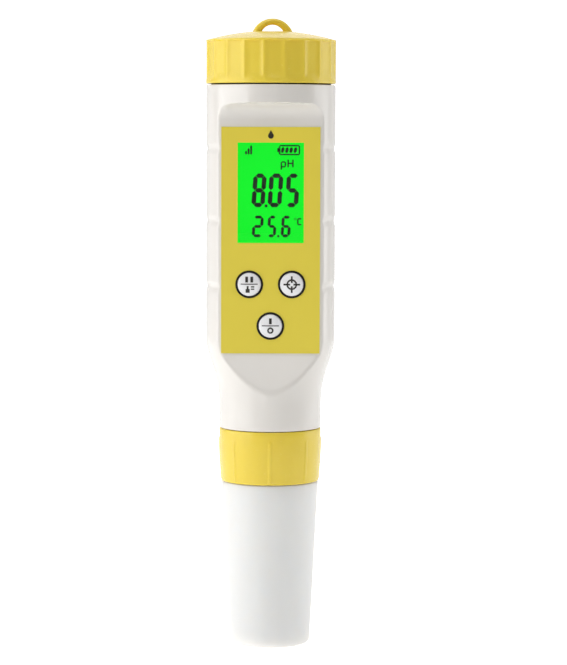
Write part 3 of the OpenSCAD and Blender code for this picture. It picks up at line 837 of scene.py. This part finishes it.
@dataclass
class FrontPanel:
    """The yellow film, the clear window and the display behind it."""

    flat: float = 11.35
    film: float = 0.2
    left: float = -14.55
    right: float = 14.55
    low: float = 88.2
    high: float = 154.9
    window: tuple[float, float, float, float] = (-9.75, 120.8, 9.75, 150.3)
    ink: float = 0.02
    figures_at: float = 9.72
    slant: float = math.tan(math.radians(4))

    def label(self, handle: Handle, wardrobe: Wardrobe) -> None:
        """Cut the film and print a plain drop above the window."""
        back = self.flat - 0.02
        film = block("front_film", (self.left, -self.flat - self.film, self.low), (self.right, -back, self.high))
        left, low, right, high = self.window
        tool = block("window_tool", (left, -20, low), (right, -8, high))
        cut(film, tool, *key_tools(handle.keys.values(), handle.key_hole))
        place_piece(film, wardrobe, "label_film", "handle", "front_label")
        round_part = arc((0, 152.3), 0.85, -220, 40, 20)
        drop = plate("film_drop_mark", round_part + [(0, 154.0)], self.flat + self.film + 0.012, 0.02)
        place_piece(drop, wardrobe, "mark_print", "handle", slot="label_film")

    def lens(self, wardrobe: Wardrobe) -> None:
        """Make the clear window with softened edges."""
        left, low, right, high = self.window
        lens = block(
            "window_lens", (left - 0.22, -self.flat, low - 0.22), (right + 0.22, -self.flat + 0.8, high + 0.22)
        )
        round_edges(lens, 0.08, 2)
        place_piece(lens, wardrobe, "clear_acrylic", "handle", "lcd_lens")

    def stroke(self, start: Point, end: Point, width: float) -> bpy.types.Object:
        """Lay one straight stroke with pointed ends behind the window.

        Args:
            start: its first end as (x, z) in mm.
            end: its other end.
            width: its width in mm.

        Returns:
            The stroke as a thin plate.
        """
        a, b = Vector(start), Vector(end)
        along = (b - a).normalized()
        side = Vector((-along.y, along.x)) * width / 2
        nib = along * width / 2
        outline = [a, a + nib + side, b - nib + side, b, b - nib - side, a + nib - side]
        return plate("stroke", [tuple(p) for p in outline], self.figures_at, self.ink)

    def figure(self, digit: int, x: float, z: float, size: Point, width: float) -> list[bpy.types.Object]:
        """Lay one seven-bar figure.

        Args:
            digit: the figure, from 0 to 9.
            x: its left edge at its foot, in mm.
            z: its foot, in mm.
            size: its width and height in mm.
            width: width of its bars in mm.

        Returns:
            Its bars.
        """
        grid = [((0, 2), (1, 2)), ((1, 2), (1, 1)), ((1, 1), (1, 0)), ((0, 0), (1, 0))]
        grid += [((0, 1), (0, 0)), ((0, 2), (0, 1)), ((0, 1), (1, 1))]
        lit = ["012345", "12", "01643", "01236", "5612", "05623", "056423", "012", "0123456", "012356"]
        bars = []
        for index in lit[digit]:
            ends = []
            for across, up in grid[int(index)]:
                height = width / 2 + up * (size[1] - width) / 2
                aside = x + width / 2 + across * (size[0] - width) + height * self.slant
                ends.append(Vector((aside, z + height)))
            trim = (ends[1] - ends[0]).normalized() * 0.05
            bars.append(self.stroke(tuple(ends[0] + trim), tuple(ends[1] - trim), width))
        return bars

    def dot(self, x: float, z: float, size: float) -> bpy.types.Object:
        """Lay a square point with its lower left corner at a place in mm."""
        outline = [(x, z), (x + size, z), (x + size, z + size), (x, z + size)]
        return plate("dot", outline, self.figures_at, self.ink)

    def line(self, points: Sequence[Point], width: float) -> list[bpy.types.Object]:
        """Lay a run of strokes through points, as for a sign's outline."""
        return [self.stroke(a, b, width) for a, b in zip(points, points[1:])]

    def display(self, wardrobe: Wardrobe) -> None:
        """Lay the readings, their units, the battery sign and the signal bars."""
        dark = []
        for digit, x, wide in ((8, -5.75, 3.9), (0, -1.0, 4.1), (5, 4.1, 3.9)):
            dark += self.figure(digit, x, 131.3, (wide, 9.9), 1.3)
        for digit, x, wide in ((2, -5.6, 3.15), (5, -1.15, 2.6), (6, 2.9, 2.8)):
            dark += self.figure(digit, x, 122.45, (wide, 6.35), 0.85)
        dark += [self.dot(-1.75, 131.3, 0.8), self.dot(1.95, 122.45, 0.6)]
        # units: a small p and a capital H, a ring and a C
        dark += self.line([(3.1, 142.3), (3.1, 144.6), (4.3, 144.6), (4.3, 143.2), (3.1, 143.2)], 0.4)
        dark += self.line([(5.1, 143.0), (5.1, 145.4)], 0.44) + self.line([(6.5, 143.0), (6.5, 145.4)], 0.44)
        dark += self.line([(5.1, 144.2), (6.5, 144.2)], 0.4)
        dark += self.line([(9.1, 127.9), (8.0, 127.9), (8.0, 126.2), (9.1, 126.2)], 0.42)
        dark += self.line(arc((7.25, 127.85), 0.3, 0, 360, 8), 0.24)
        # battery: outline, nub and four bars
        dark += self.line([(2.6, 146.8), (8.4, 146.8), (8.4, 149.4), (2.6, 149.4), (2.6, 146.8)], 0.42)
        dark += self.line([(2.15, 147.4), (2.15, 148.8)], 0.5)
        for x in (3.25, 4.5, 5.75, 7.0):
            dark += self.line([(x, 147.2), (x + 0.45, 149.0)], 0.9)
        # signal: three rising bars
        for step in range(3):
            x = -7.3 + 0.75 * step
            dark += self.line([(x, 146.7), (x, 147.9 + 0.8 * step)], 0.55)
        figures = join("display_figures", dark)
        place_piece(figures, wardrobe, "display_ink", "handle", "lcd_segments")

    def build(self, handle: Handle, wardrobe: Wardrobe) -> None:
        """Build every piece of the panel."""
        self.label(handle, wardrobe)
        self.lens(wardrobe)
        self.display(wardrobe)


@dataclass
class Keypad:
    """The black membrane with its three rings, and the domed keys with their signs."""

    key: float = 3.45
    ring_in: float = 3.55
    ring_out: float = 4.05
    ring_front: float = 11.85
    back: float = 8.9
    key_back: float = 7.4
    key_front: float = 11.9
    flange_front: float = 8.65
    flange_out: float = 0.9
    flange_thick: float = 0.6
    shoulder: float = 0.35
    shoulder_turn: float = 62.0
    dome: float = 0.5
    sign_width: float = 0.5

    def membrane(self, handle: Handle, wardrobe: Wardrobe) -> None:
        """Make the membrane plate and its rounded rings."""
        sheet = block("membrane_sheet", (-11.5, -9.7, 91), (11.5, -self.back, 114.5))
        middle, half = (self.ring_in + self.ring_out) / 2, (self.ring_out - self.ring_in) / 2
        section = [(self.ring_in, self.back + 0.3)]
        section += arc((middle, self.ring_front - half), half, 180, 0, 8)
        section += [(self.ring_out, self.back + 0.3), section[0]]
        rings = [lathe("ring", section, 72, Turn.FORWARD, (x, 0, z)) for x, z in handle.keys.values()]
        cut(sheet, *key_tools(handle.keys.values(), self.ring_in))
        membrane = join("key_membrane", [sheet, *rings])
        place_piece(membrane, wardrobe, "black_silicone", "handle", "keypad_membrane")

    def cap_profile(self) -> list[Point]:
        """Draw a key's section: flange, stem, rounded shoulder and shallow dome."""
        rim, low, high = self.key + self.flange_out, self.flange_front - self.flange_thick, self.flange_front
        profile = [(0, self.key_back), (self.key, self.key_back), (self.key, low), (rim, low), (rim, high)]
        profile.append((self.key, high))
        centre = (self.key - self.shoulder, self.key_front - self.shoulder)
        profile += arc(centre, self.shoulder, 0, self.shoulder_turn, 5)
        steps = 8
        reach = profile[-1][0]
        radii = [reach * (1 - i / steps) for i in range(1, steps + 1)]
        return profile + [(r, self.dome_front(r)) for r in radii]

    def dome_front(self, distance: float) -> float:
        """Give how far the dome's face lies from the axis, at a distance from the key's middle."""
        turned = math.radians(self.shoulder_turn)
        reach = self.key - self.shoulder + self.shoulder * math.cos(turned)
        base = self.key_front - self.shoulder + self.shoulder * math.sin(turned)
        return base + self.dome * (1 - (distance / reach) ** 2)

    def mark(self, sign: KeySign, x: float, z: float) -> bpy.types.Object:
        """Lay a key's plain sign on its dome.

        Args:
            sign: which key.
            x: the key's middle.
            z: the key's height.

        Returns:
            The sign as one thin piece that follows the dome.
        """
        width = self.sign_width
        strokes: list[tuple[Point, Point, float]] = []
        if sign is KeySign.HOLD:
            strokes += [((-0.75, 0.6), (-0.75, 2.3), 0.8), ((0.75, 0.6), (0.75, 2.3), 0.8)]
            strokes += [((-2.5, 0.1), (2.5, 0.1), 0.28)]
            strokes += [((-0.45, -0.45), (-0.45, -1.5), 0.55), ((-1.05, -1.9), (0.15, -1.9), 1.1)]
            strokes += [((0.5, -0.7), (1.5, -0.7), 0.36), ((0.5, -1.4), (1.5, -1.4), 0.36)]
        elif sign is KeySign.CAL:
            ring = arc((0, 0), 1.35, 0, 360, 24)
            strokes += [(a, b, width) for a, b in zip(ring, ring[1:])]
            for turn in range(4):
                c, s = math.cos(turn * math.pi / 2), math.sin(turn * math.pi / 2)
                strokes.append(((0.5 * c, 0.5 * s), (2.45 * c, 2.45 * s), width))
        else:
            strokes += [((0, 0.6), (0, 2.3), 0.8), ((-2.5, 0.1), (2.5, 0.1), 0.28)]
            ring = arc((0, -1.3), 0.72, 0, 360, 20)
            strokes += [(a, b, 0.5) for a, b in zip(ring, ring[1:])]
        parts = []
        for (ax, az), (bx, bz), wide in strokes:
            start, end = Vector((ax, az)), Vector((bx, bz))
            side = Vector((az - bz, bx - ax)).normalized() * wide / 2
            pieces = max(1, math.ceil((end - start).length / 0.3))
            for i in range(pieces):
                a, b = start.lerp(end, i / pieces), start.lerp(end, (i + 1) / pieces)
                corners = [a + side, b + side, b - side, a - side]
                parts.append(plate("sign", [(x + c.x, z + c.y) for c in corners], 0.03, 0.05))
        piece = join("key_sign_" + sign.value, parts)

        def drape(place: Vector) -> Vector:
            """Move the flat sign onto the dome."""
            front = self.dome_front(math.hypot(place.x - x, place.z - z))
            return Vector((place.x, place.y - front + 0.015, place.z))

        shape(piece, drape)
        return piece

    def build(self, handle: Handle, wardrobe: Wardrobe) -> None:
        """Build the membrane, the keys and their signs."""
        self.membrane(handle, wardrobe)
        for sign, (x, z) in handle.keys.items():
            body = sign.value + "_key"
            cap = lathe("key_" + sign.value, self.cap_profile(), 72, Turn.FORWARD, (x, 0, z))
            place_piece(cap, wardrobe, "key_white", body, "button_" + sign.value)
            place_piece(self.mark(sign, x, z), wardrobe, "sign_print", body, slot="display_ink")


@dataclass
class BatteryCap:
    """The yellow screw cap with hollow panels between fine ribs, a low dome and a cord arch."""

    radius: float = 19.3
    bottom: float = 167.7
    side_top: float = 180.6
    top: float = 183.0
    crown: float = 6.5
    ribs: int = 20
    rib_half: float = 0.45
    hollow: float = 0.42
    first_rib: float = -96.0
    hollow_low: float = 168.3
    hollow_high: float = 180.2
    fade: float = 2.6
    root: float = 17.7
    loop_outer: float = 6.5
    loop_inner: float = 3.72
    loop_top: float = 187.0
    loop_gap: float = 185.1
    loop_depth: float = 3.0
    loop_turn: float = 10.0
    loop_x: float = 0.4

    def profile(self) -> list[Point]:
        """Draw the closed section of the cap's wall and roof."""
        outside = arc((self.radius - 0.25, self.bottom + 0.25), 0.25, -90, 0, 3)
        outside += [(self.radius, z) for z in levels(self.hollow_low, self.hollow_low + self.fade, 0.25)]
        outside += [(self.radius, z) for z in levels(self.hollow_low + self.fade, self.hollow_high - 0.4, 2.0)]
        outside += [(self.radius, z) for z in levels(self.hollow_high - 0.4, self.hollow_high + 0.2, 0.08)]
        outside += arc((self.radius - 0.18, self.side_top - 0.18), 0.18, 0, 75, 3)
        steps = 10
        for i in range(1, steps + 1):
            t = i / steps
            r = self.radius - 0.2 + (self.crown - self.radius + 0.2) * t
            lift = (self.top - self.side_top) * (t + 0.12 * math.sin(math.pi * t))
            outside.append((r, self.side_top + lift))
        outside += [(self.crown - 0.6, self.top + 0.01), (3.0, self.top + 0.01), (0, self.top + 0.01)]
        inside = [(0, 180.4), (5, 180.4), (12, 178.3), (15, 178.3), (15, 176), (16.2, 176), (16.2, 178.3)]
        inside += [(self.root, 178.3), (self.root, 169.5), (18.2, 169.2), (18.2, self.bottom)]
        return outside + inside + [outside[0]]

    def panelled(self, place: Vector) -> Vector:
        """Press the hollow panels into the side."""
        around = math.hypot(place.x, place.y)
        if around < self.radius - 0.1 or not self.hollow_low <= place.z <= self.hollow_high + 0.1:
            return place
        pitch = 360 / self.ribs
        turned = (math.degrees(math.atan2(place.y, place.x)) - self.first_rib) % pitch
        half = pitch / 2
        land = math.degrees(self.rib_half / self.radius)
        from_rib = half - abs(turned - half)
        across = min(1.0, max(0.0, (from_rib - land * 0.5) / (half - land * 0.5)))
        bowl = 1 - (1 - across) ** 3.4
        ends = rise((place.z - self.hollow_low) / self.fade) * rise((self.hollow_high - place.z) / 0.3)
        radius = around - self.hollow * bowl * ends
        return Vector((place.x * radius / around, place.y * radius / around, place.z))

    def arch(self) -> bpy.types.Object:
        """Sweep a rounded strap round the outer arc and press its underside to the inner arc."""
        centre = self.loop_top - self.loop_outer
        drop = self.loop_gap - self.loop_inner - centre
        foot = math.asin((self.top - 0.25 - centre) / self.loop_outer)
        half, fullness = self.loop_depth / 2, 0.75
        section = []
        for x, y in arc((0, 0), 1.0, 0, 360, 24):
            x, y = (math.copysign(abs(v) ** fullness, v) for v in (x, y))
            section.append((0.5 + x / 2, y * half))
        places = [self.strap_place(x, y, centre, foot) for x, y in section]
        loop = draw_line("cord_arch", places)
        bpy.ops.mesh.select_all(action="SELECT")
        bpy.ops.mesh.remove_doubles(threshold=1e-7)
        bpy.ops.mesh.spin(steps=40, angle=math.pi - 2 * foot, center=(0, 0, centre * MM), axis=(0, 1, 0))
        bpy.ops.mesh.select_all(action="DESELECT")
        bpy.ops.mesh.select_non_manifold()
        bpy.ops.mesh.fill()
        close_seams(loop, 0.0005)
        angle = math.radians(self.loop_turn)

        def settle(place: Vector) -> Vector:
            """Thin the strap to the inner arc, turn it about the axis and shift it to its place."""
            up, across = place.z - centre, place.x
            radius = math.hypot(up, across)
            sine, cosine = up / radius, across / radius
            inner = drop * sine + math.sqrt(self.loop_inner**2 - (drop * cosine) ** 2)
            depth = radius - (self.loop_outer - 1)
            radius = inner + (self.loop_outer - inner) * depth
            x, y = radius * cosine, place.y
            turned_x = x * math.cos(angle) - y * math.sin(angle) + self.loop_x
            return Vector((turned_x, x * math.sin(angle) + y * math.cos(angle), centre + radius * sine))

        shape(loop, settle)
        smooth(loop, 60)
        return loop

    def strap_place(self, depth: float, y: float, centre: float, foot: float) -> Vector:
        """Place a point of the strap's section at the foot of the arch, in metres.

        Args:
            depth: 0 on the strap's underside and 1 on its outside.
            y: its place across the strap, in mm.
            centre: height of the outer arc's centre, in mm.
            foot: angle of the foot above the level, in radians.

        Returns:
            The point, on a strap 1 mm thick.
        """
        radius = self.loop_outer - 1 + depth
        return Vector((radius * math.cos(foot), y, centre + radius * math.sin(foot))) * MM

    def build(self, wardrobe: Wardrobe) -> None:
        """Build the cap with its inner thread, and the arch."""
        cap = lathe("screw_cap", self.profile(), 480)
        shape(cap, self.panelled)
        smooth(cap, 30)
        thread = screw_thread("cap_thread", self.root, 16.95, 169.9, 1.6, 3.0, 180)
        cap = join("screw_cap", [cap, thread])
        place_piece(cap, wardrobe, "yellow_abs", "top_cap", "battery_cap")
        place_piece(self.arch(), wardrobe, "yellow_abs", "top_cap", "lanyard_loop")


@dataclass
class Collar:
    """The yellow screw ring under the waist, with a smooth top band and fine upright ribs."""

    bottom: float = 49.2
    top: float = 65.0
    low_radius: float = 14.6
    high_radius: float = 15.2
    ribs: int = 8
    rib_half: float = 0.6
    rib_out: float = 0.16
    rib_top: float = 62.6
    root: float = 13.65
    flange: float = 51.0
    flange_radius: float = 12.15

    def side_radius(self, z: float) -> float:
        """Give the outside radius at a height."""
        return self.low_radius + (self.high_radius - self.low_radius) * rise((z - self.bottom) / 12.0) ** 0.8

    def profile(self) -> list[Point]:
        """Draw the closed section of the ring."""
        outside = arc((self.low_radius - 0.3, self.bottom + 0.3), 0.3, -90, 0, 4)
        outside += [(self.side_radius(z), z) for z in levels(self.bottom + 0.7, self.rib_top - 1.2, 0.8)]
        outside += [(self.side_radius(z), z) for z in levels(self.rib_top - 1.2, self.rib_top + 0.4, 0.2)]
        outside += arc((self.high_radius - 0.35, self.top - 0.35), 0.35, 0, 90, 4)
        inside = [(self.root, self.top), (self.root, self.flange)]
        inside += [(self.flange_radius, self.flange), (self.flange_radius, self.bottom)]
        return outside + inside + [outside[0]]

    def ribbed(self, place: Vector) -> Vector:
        """Raise the ribs out of the side, up to the smooth top band."""
        around = math.hypot(place.x, place.y)
        if around < self.low_radius - 0.45 or not self.bottom + 0.1 < place.z < self.rib_top:
            return place
        pitch = 360 / self.ribs
        turned = (math.degrees(math.atan2(place.y, place.x)) + 90 + pitch / 2) % pitch - pitch / 2
        off = abs(math.radians(turned) * around) / self.rib_half
        ridge = 1 - rise(off - 0.25)
        ends = rise((self.rib_top - place.z) / 1.2) * rise((place.z - self.bottom - 0.1) / 0.4)
        radius = around + self.rib_out * ridge * ends
        return Vector((place.x * radius / around, place.y * radius / around, place.z))

    def build(self, wardrobe: Wardrobe) -> None:
        """Build the ring with its inner thread."""
        ring = lathe("screw_ring", self.profile(), 640)
        shape(ring, self.ribbed)
        smooth(ring, 30)
        thread = screw_thread("ring_thread", self.root, 12.95, 57.3, 1.75, 3.0, 180)
        ring = join("screw_ring", [ring, thread])
        place_piece(ring, wardrobe, "yellow_abs", "screw_collar", "collar")


@dataclass
class StorageCover:
    """The milky cap that keeps the bulb wet, and its sponge."""

    base: float = 12.1
    mouth: float = 14.5
    height: float = 49.0
    floor: float = 2.0
    inner_base: float = 10.6
    inner_mouth: float = 12.2
    fillet: float = 1.2

    def build(self, wardrobe: Wardrobe) -> None:
        """Build the cap and the sponge."""
        outside = [(0, 0), (6, 0), (self.base - self.fillet - 0.4, 0)]
        outside += arc((self.base - self.fillet, self.fillet), self.fillet, -90, 0, 8)
        rings = 12
        for i in range(1, rings):
            t = i / rings
            outside.append((self.base + (self.mouth - self.base) * t, self.fillet + (self.height - self.fillet) * t))
        outside += arc((self.mouth - 0.35, self.height - 0.35), 0.35, 0, 90, 4)
        inside = [(self.inner_mouth + 0.2, self.height), (self.inner_mouth, self.height - 0.3)]
        inside += [(self.inner_base, self.floor + 0.6), (self.inner_base - 0.6, self.floor), (0, self.floor)]
        cover = lathe("storage_cover", outside + inside, 160)
        place_piece(cover, wardrobe, "milky_polypropylene", "cover", "protective_cap")
        reach, low, high = self.inner_base - 0.75, self.floor + 0.01, 6.0
        section = [(0, low), (reach - 0.3, low)] + arc((reach - 0.4, low + 0.4), 0.4, -80, 0, 3)
        section += arc((reach - 0.6, high - 0.6), 0.6, 0, 80, 4) + [(reach * 0.5, high - 0.05), (0, high - 0.12)]
        sponge = lathe("sponge_disc", section, 96)
        place_piece(sponge, wardrobe, "sponge_foam", "cover", "storage_sponge")


@dataclass
class Probe:
    """The probe: flanged barrel, slotted guard, glass bulb and temperature pin."""

    barrel: float = 9.5
    face: float = 24.0
    guard_low: float = 10.6
    guard_wall: float = 1.7
    slots: int = 4
    slot_width: float = 6.5
    bulb: float = 4.6
    bulb_z: float = 17.6
    tube: float = 4.0
    pin_x: float = 6.2

    def housing(self, wardrobe: Wardrobe) -> None:
        """Turn the barrel with its grooves, shoulder, flange and plug."""
        section = [(0, self.face), (self.barrel - 0.5, self.face)]
        section += arc((self.barrel - 0.4, self.face + 0.4), 0.4, -80, 0, 3)
        section += [(self.barrel, 35.0), (self.barrel + 0.2, 35.4), (11.3, 36.8), (11.49, 37.2), (11.66, 41.95)]
        section += [(11.62, 42.0), (11.12, 42.05), (11.12, 43.95), (11.66, 44.0), (11.7, 44.05), (11.85, 48.9)]
        section += [(11.85, 51.15), (12.45, 51.15), (12.75, 51.45), (12.75, 54.2), (12.45, 54.5)]
        section += [(10.75, 54.5), (10.75, 57), (9.8, 57.05), (9.8, 58.95), (10.75, 59), (10.75, 63.0)]
        section += [(10.25, 63.5), (6.5, 63.5), (6.5, 60.5), (0, 60.5)]
        barrel = lathe("probe_barrel", section, 144)
        tools = [
            lathe("tube_tool", [(0, 20), (self.tube + 0.08, 20), (self.tube + 0.08, 55), (0, 55)], 48),
            lathe("pin_tool", [(0, 20), (1.25, 20), (1.25, 27.1), (0, 27.1)], 32, centre=(self.pin_x, 0, 0)),
            lathe("junction_tool", [(0, 20), (1.02, 20), (1.02, 25.6), (0, 25.6)], 32, centre=(-6.4, 0, 0)),
        ]
        cut(barrel, *tools)
        smooth(barrel, 35)
        place_piece(barrel, wardrobe, "probe_plastic", "probe", "probe_housing")

    def guard(self, wardrobe: Wardrobe) -> None:
        """Turn the guard, cut its slots and round its edges."""
        inner = self.barrel - self.guard_wall
        low, high = self.guard_low, self.face
        section = [(inner, low + 0.1), (inner + 0.1, low), (self.barrel - 0.1, low), (self.barrel, low + 0.1)]
        section += [(self.barrel, high - 0.02), (inner, high - 0.02), (inner, low + 0.1)]
        guard = lathe("bulb_guard", section, 96)
        for i in range(self.slots):
            angle = math.radians(45 + 360 * i / self.slots)
            tool = block("slot_tool", (4, -self.slot_width / 2, low + 2.2), (14, self.slot_width / 2, high - 2))

            def swing(place: Vector, c: float = math.cos(angle), s: float = math.sin(angle)) -> Vector:
                """Turn the slot's tool about the axis."""
                return Vector((place.x * c - place.y * s, place.x * s + place.y * c, place.z))

            shape(tool, swing)
            cut(guard, tool)
        round_edges(guard, 0.22, 2, 40)
        place_piece(guard, wardrobe, "probe_plastic", "probe", "probe_guard")

    def glass(self, wardrobe: Wardrobe) -> None:
        """Blow the bulb on its tube, and turn the steel pin."""
        join_angle = math.degrees(math.acos(self.tube / self.bulb))
        outside = arc((0, self.bulb_z), self.bulb, -90, join_angle, 24)
        wall = 0.5
        inner_angle = math.degrees(math.acos((self.tube - 0.6) / (self.bulb - wall)))
        inside = arc((0, self.bulb_z), self.bulb - wall, inner_angle, -90, 24)
        section = outside + [(self.tube, 22.0), (self.tube, 51.8), (3.6, 52.0), (3.4, 51.8), (3.4, 22.0)] + inside
        bulb = lathe("glass_membrane", section, 96)
        place_piece(bulb, wardrobe, "electrode_glass", "probe", "glass_bulb")
        tip = 14.2
        section = [(0, tip), (0.45, tip + 0.04), (0.85, tip + 0.22), (1.08, tip + 0.6), (1.15, tip + 1.1)]
        section += [(1.15, 26.9), (0, 26.9)]
        pin = lathe("steel_pin", section, 48, centre=(self.pin_x, 0, 0))
        place_piece(pin, wardrobe, "stainless_steel", "probe", "temperature_pin")

    def build(self, wardrobe: Wardrobe) -> None:
        """Build every piece of the probe."""
        self.housing(wardrobe)
        self.guard(wardrobe)
        self.glass(wardrobe)


NODE_FINISHES = {
    "display_glass": ["lcd_cell"],
    "light_guide": ["lcd_backlight"],
    "grey_elastomer": ["zebra_strips"],
    "black_abs": ["chassis", "probe_socket", "retaining_ring"],
    "zinc_steel": ["chassis_screws", "tact_switches"],
    "circuit_board": ["main_pcb"],
    "chip_epoxy": ["circuit_chips"],
    "shield_can": ["radio_module"],
    "white_abs": ["battery_housing"],
    "cell_nickel": ["battery_cells"],
    "spring_brass": ["battery_contacts", "contact_bridge"],
    "black_silicone": ["cap_oring", "plug_oring", "seal_ring"],
    "silver_metal": ["silver_wire"],
    "porous_ceramic": ["reference_junction"],
    "gold_plate": ["probe_pins"],
}


@dataclass
class Studio:
    """A plain pale floor, soft lights at both sides and the camera a little above the display."""

    lens_mm: float = 140.75
    distance: float = 0.7767
    height: float = 0.1543
    pitch: float = -4.477
    roll: float = -0.17
    shift: float = 0.0189
    floor_seen: float = 0.9
    floor_spill: float = 0.45
    air_seen: float = 1.0
    air_glow: float = 0.14

    def floor(self) -> None:
        """Lay the floor and curve it up behind."""
        line = [Vector((-6.0, -3.0, 0)), Vector((-6.0, 3.0, 0))]
        turns = (0.3, 0.6, 0.9, 1.2, 1.5708)
        line += [Vector((-6.0, 3.0 + math.sin(a) * 1.5, 1.5 - math.cos(a) * 1.5)) for a in turns]
        line.append(Vector((-6.0, 4.5, 6.0)))
        sweep = draw_line("studio_floor", line)
        bpy.ops.mesh.select_all(action="SELECT")
        bpy.ops.mesh.extrude_region_move(TRANSFORM_OT_translate={"value": (12.0, 0, 0)})
        bpy.ops.object.mode_set(mode="OBJECT")
        shape(sweep, lambda place: Vector((place.x, place.y, place.z - 0.02)))
        smooth(sweep, 40)
        paper = Shading("pale_paper")
        paper.link(paper.blend(paper.noise(300.0, 2.0), "#f7f7f7", "#f9f9f9"), "Base Color")
        depth = add_node(paper.tree, "ShaderNodeSeparateXYZ", links={"Vector": paper.place})
        # the part of the floor in front of the object stays dim to all but the camera
        glow = add_node(
            paper.tree,
            "ShaderNodeMapRange",
            {"interpolation_type": "SMOOTHSTEP"},
            {"From Min": -0.5, "From Max": 0.15, "To Min": 0.0, "To Max": self.floor_spill},
            {"Value": depth.outputs["Y"]},
        )
        path = add_node(paper.tree, "ShaderNodeLightPath")
        seen = add_node(
            paper.tree,
            "ShaderNodeMix",
            {"data_type": "FLOAT"},
            {"B": self.floor_seen},
            {"Factor": path.outputs["Is Camera Ray"], "A": glow.outputs["Result"]},
        )
        paper.set(Roughness=0.9, Emission_Color=(1, 1, 1, 1))
        paper.link(seen.outputs["Result"], "Emission Strength")
        sweep.data.materials.append(paper.material)

    def light(self, name: str, place: Place, target: Place, size: Point, power: float) -> None:
        """Hang one soft panel light.

        Args:
            name: its name.
            place: where it hangs, in metres.
            target: what it is turned to, in metres.
            size: its width and height in metres.
            power: its power in watts.
        """
        lamp = bpy.data.lights.new(name, "AREA")
        lamp.shape = "RECTANGLE"
        lamp.size, lamp.size_y = size
        lamp.energy = power
        holder = bpy.data.objects.new(name, lamp)
        bpy.context.collection.objects.link(holder)
        holder.location = place
        aim = Vector(target) - Vector(place)
        holder.rotation_euler = aim.to_track_quat("-Z", "Y").to_euler()

    def build(self) -> None:
        """Set up the floor, the lights, the world and the camera."""
        self.floor()
        middle = (0, 0, 0.1)
        self.light("left_panel", (-0.73, -0.22, 0.2), middle, (1.0, 0.9), 5.8)
        self.light("right_panel", (0.75, 0.16, 0.2), middle, (0.52, 0.9), 2.4)
        self.light("top_panel", (0.0, 0.05, 0.95), middle, (0.7, 0.7), 2.9)
        self.light("back_panel", (0.0, 0.9, 0.56), middle, (1.8, 0.5), 1.3)
        self.light("front_panel", (0.1, -0.7, 0.8), middle, (0.5, 0.4), 1.6)
        world = bpy.data.worlds.new("studio_air")
        world.use_nodes = True
        air = world.node_tree.nodes["Background"]
        air.inputs["Color"].default_value = (1, 1, 1, 1)
        path = add_node(world.node_tree, "ShaderNodeLightPath")
        seen = add_node(
            world.node_tree,
            "ShaderNodeMix",
            {"data_type": "FLOAT"},
            {"A": self.air_glow, "B": self.air_seen},
            {"Factor": path.outputs["Is Camera Ray"]},
        )
        world.node_tree.links.new(seen.outputs["Result"], air.inputs["Strength"])
        bpy.context.scene.world = world
        bpy.context.scene.view_settings.view_transform = "Standard"
        camera = bpy.data.cameras.new("front_camera")
        camera.lens = self.lens_mm
        camera.shift_x = self.shift
        holder = bpy.data.objects.new("front_camera", camera)
        bpy.context.collection.objects.link(holder)
        holder.location = (0, -self.distance, self.height)
        holder.rotation_euler = (math.radians(90 + self.pitch), math.radians(self.roll), 0)
        bpy.context.scene.camera = holder


def main() -> None:
    """Build the object and its studio, in order."""
    logging.basicConfig(level=logging.INFO, format="%(name)s: %(message)s")
    wardrobe = Wardrobe()
    Studio().build()
    handle = Handle()
    handle.build(wardrobe)
    FrontPanel().build(handle, wardrobe)
    Keypad().build(handle, wardrobe)
    BatteryCap().build(wardrobe)
    Collar().build(wardrobe)
    StorageCover().build(wardrobe)
    Probe().build(wardrobe)
    for finish, nodes in NODE_FINISHES.items():
        for node in nodes:
            wardrobe.dress_node(node, finish)
            log.info("%s: node kept, finish %s", node, finish)


if __name__ == "__main__":
    main()
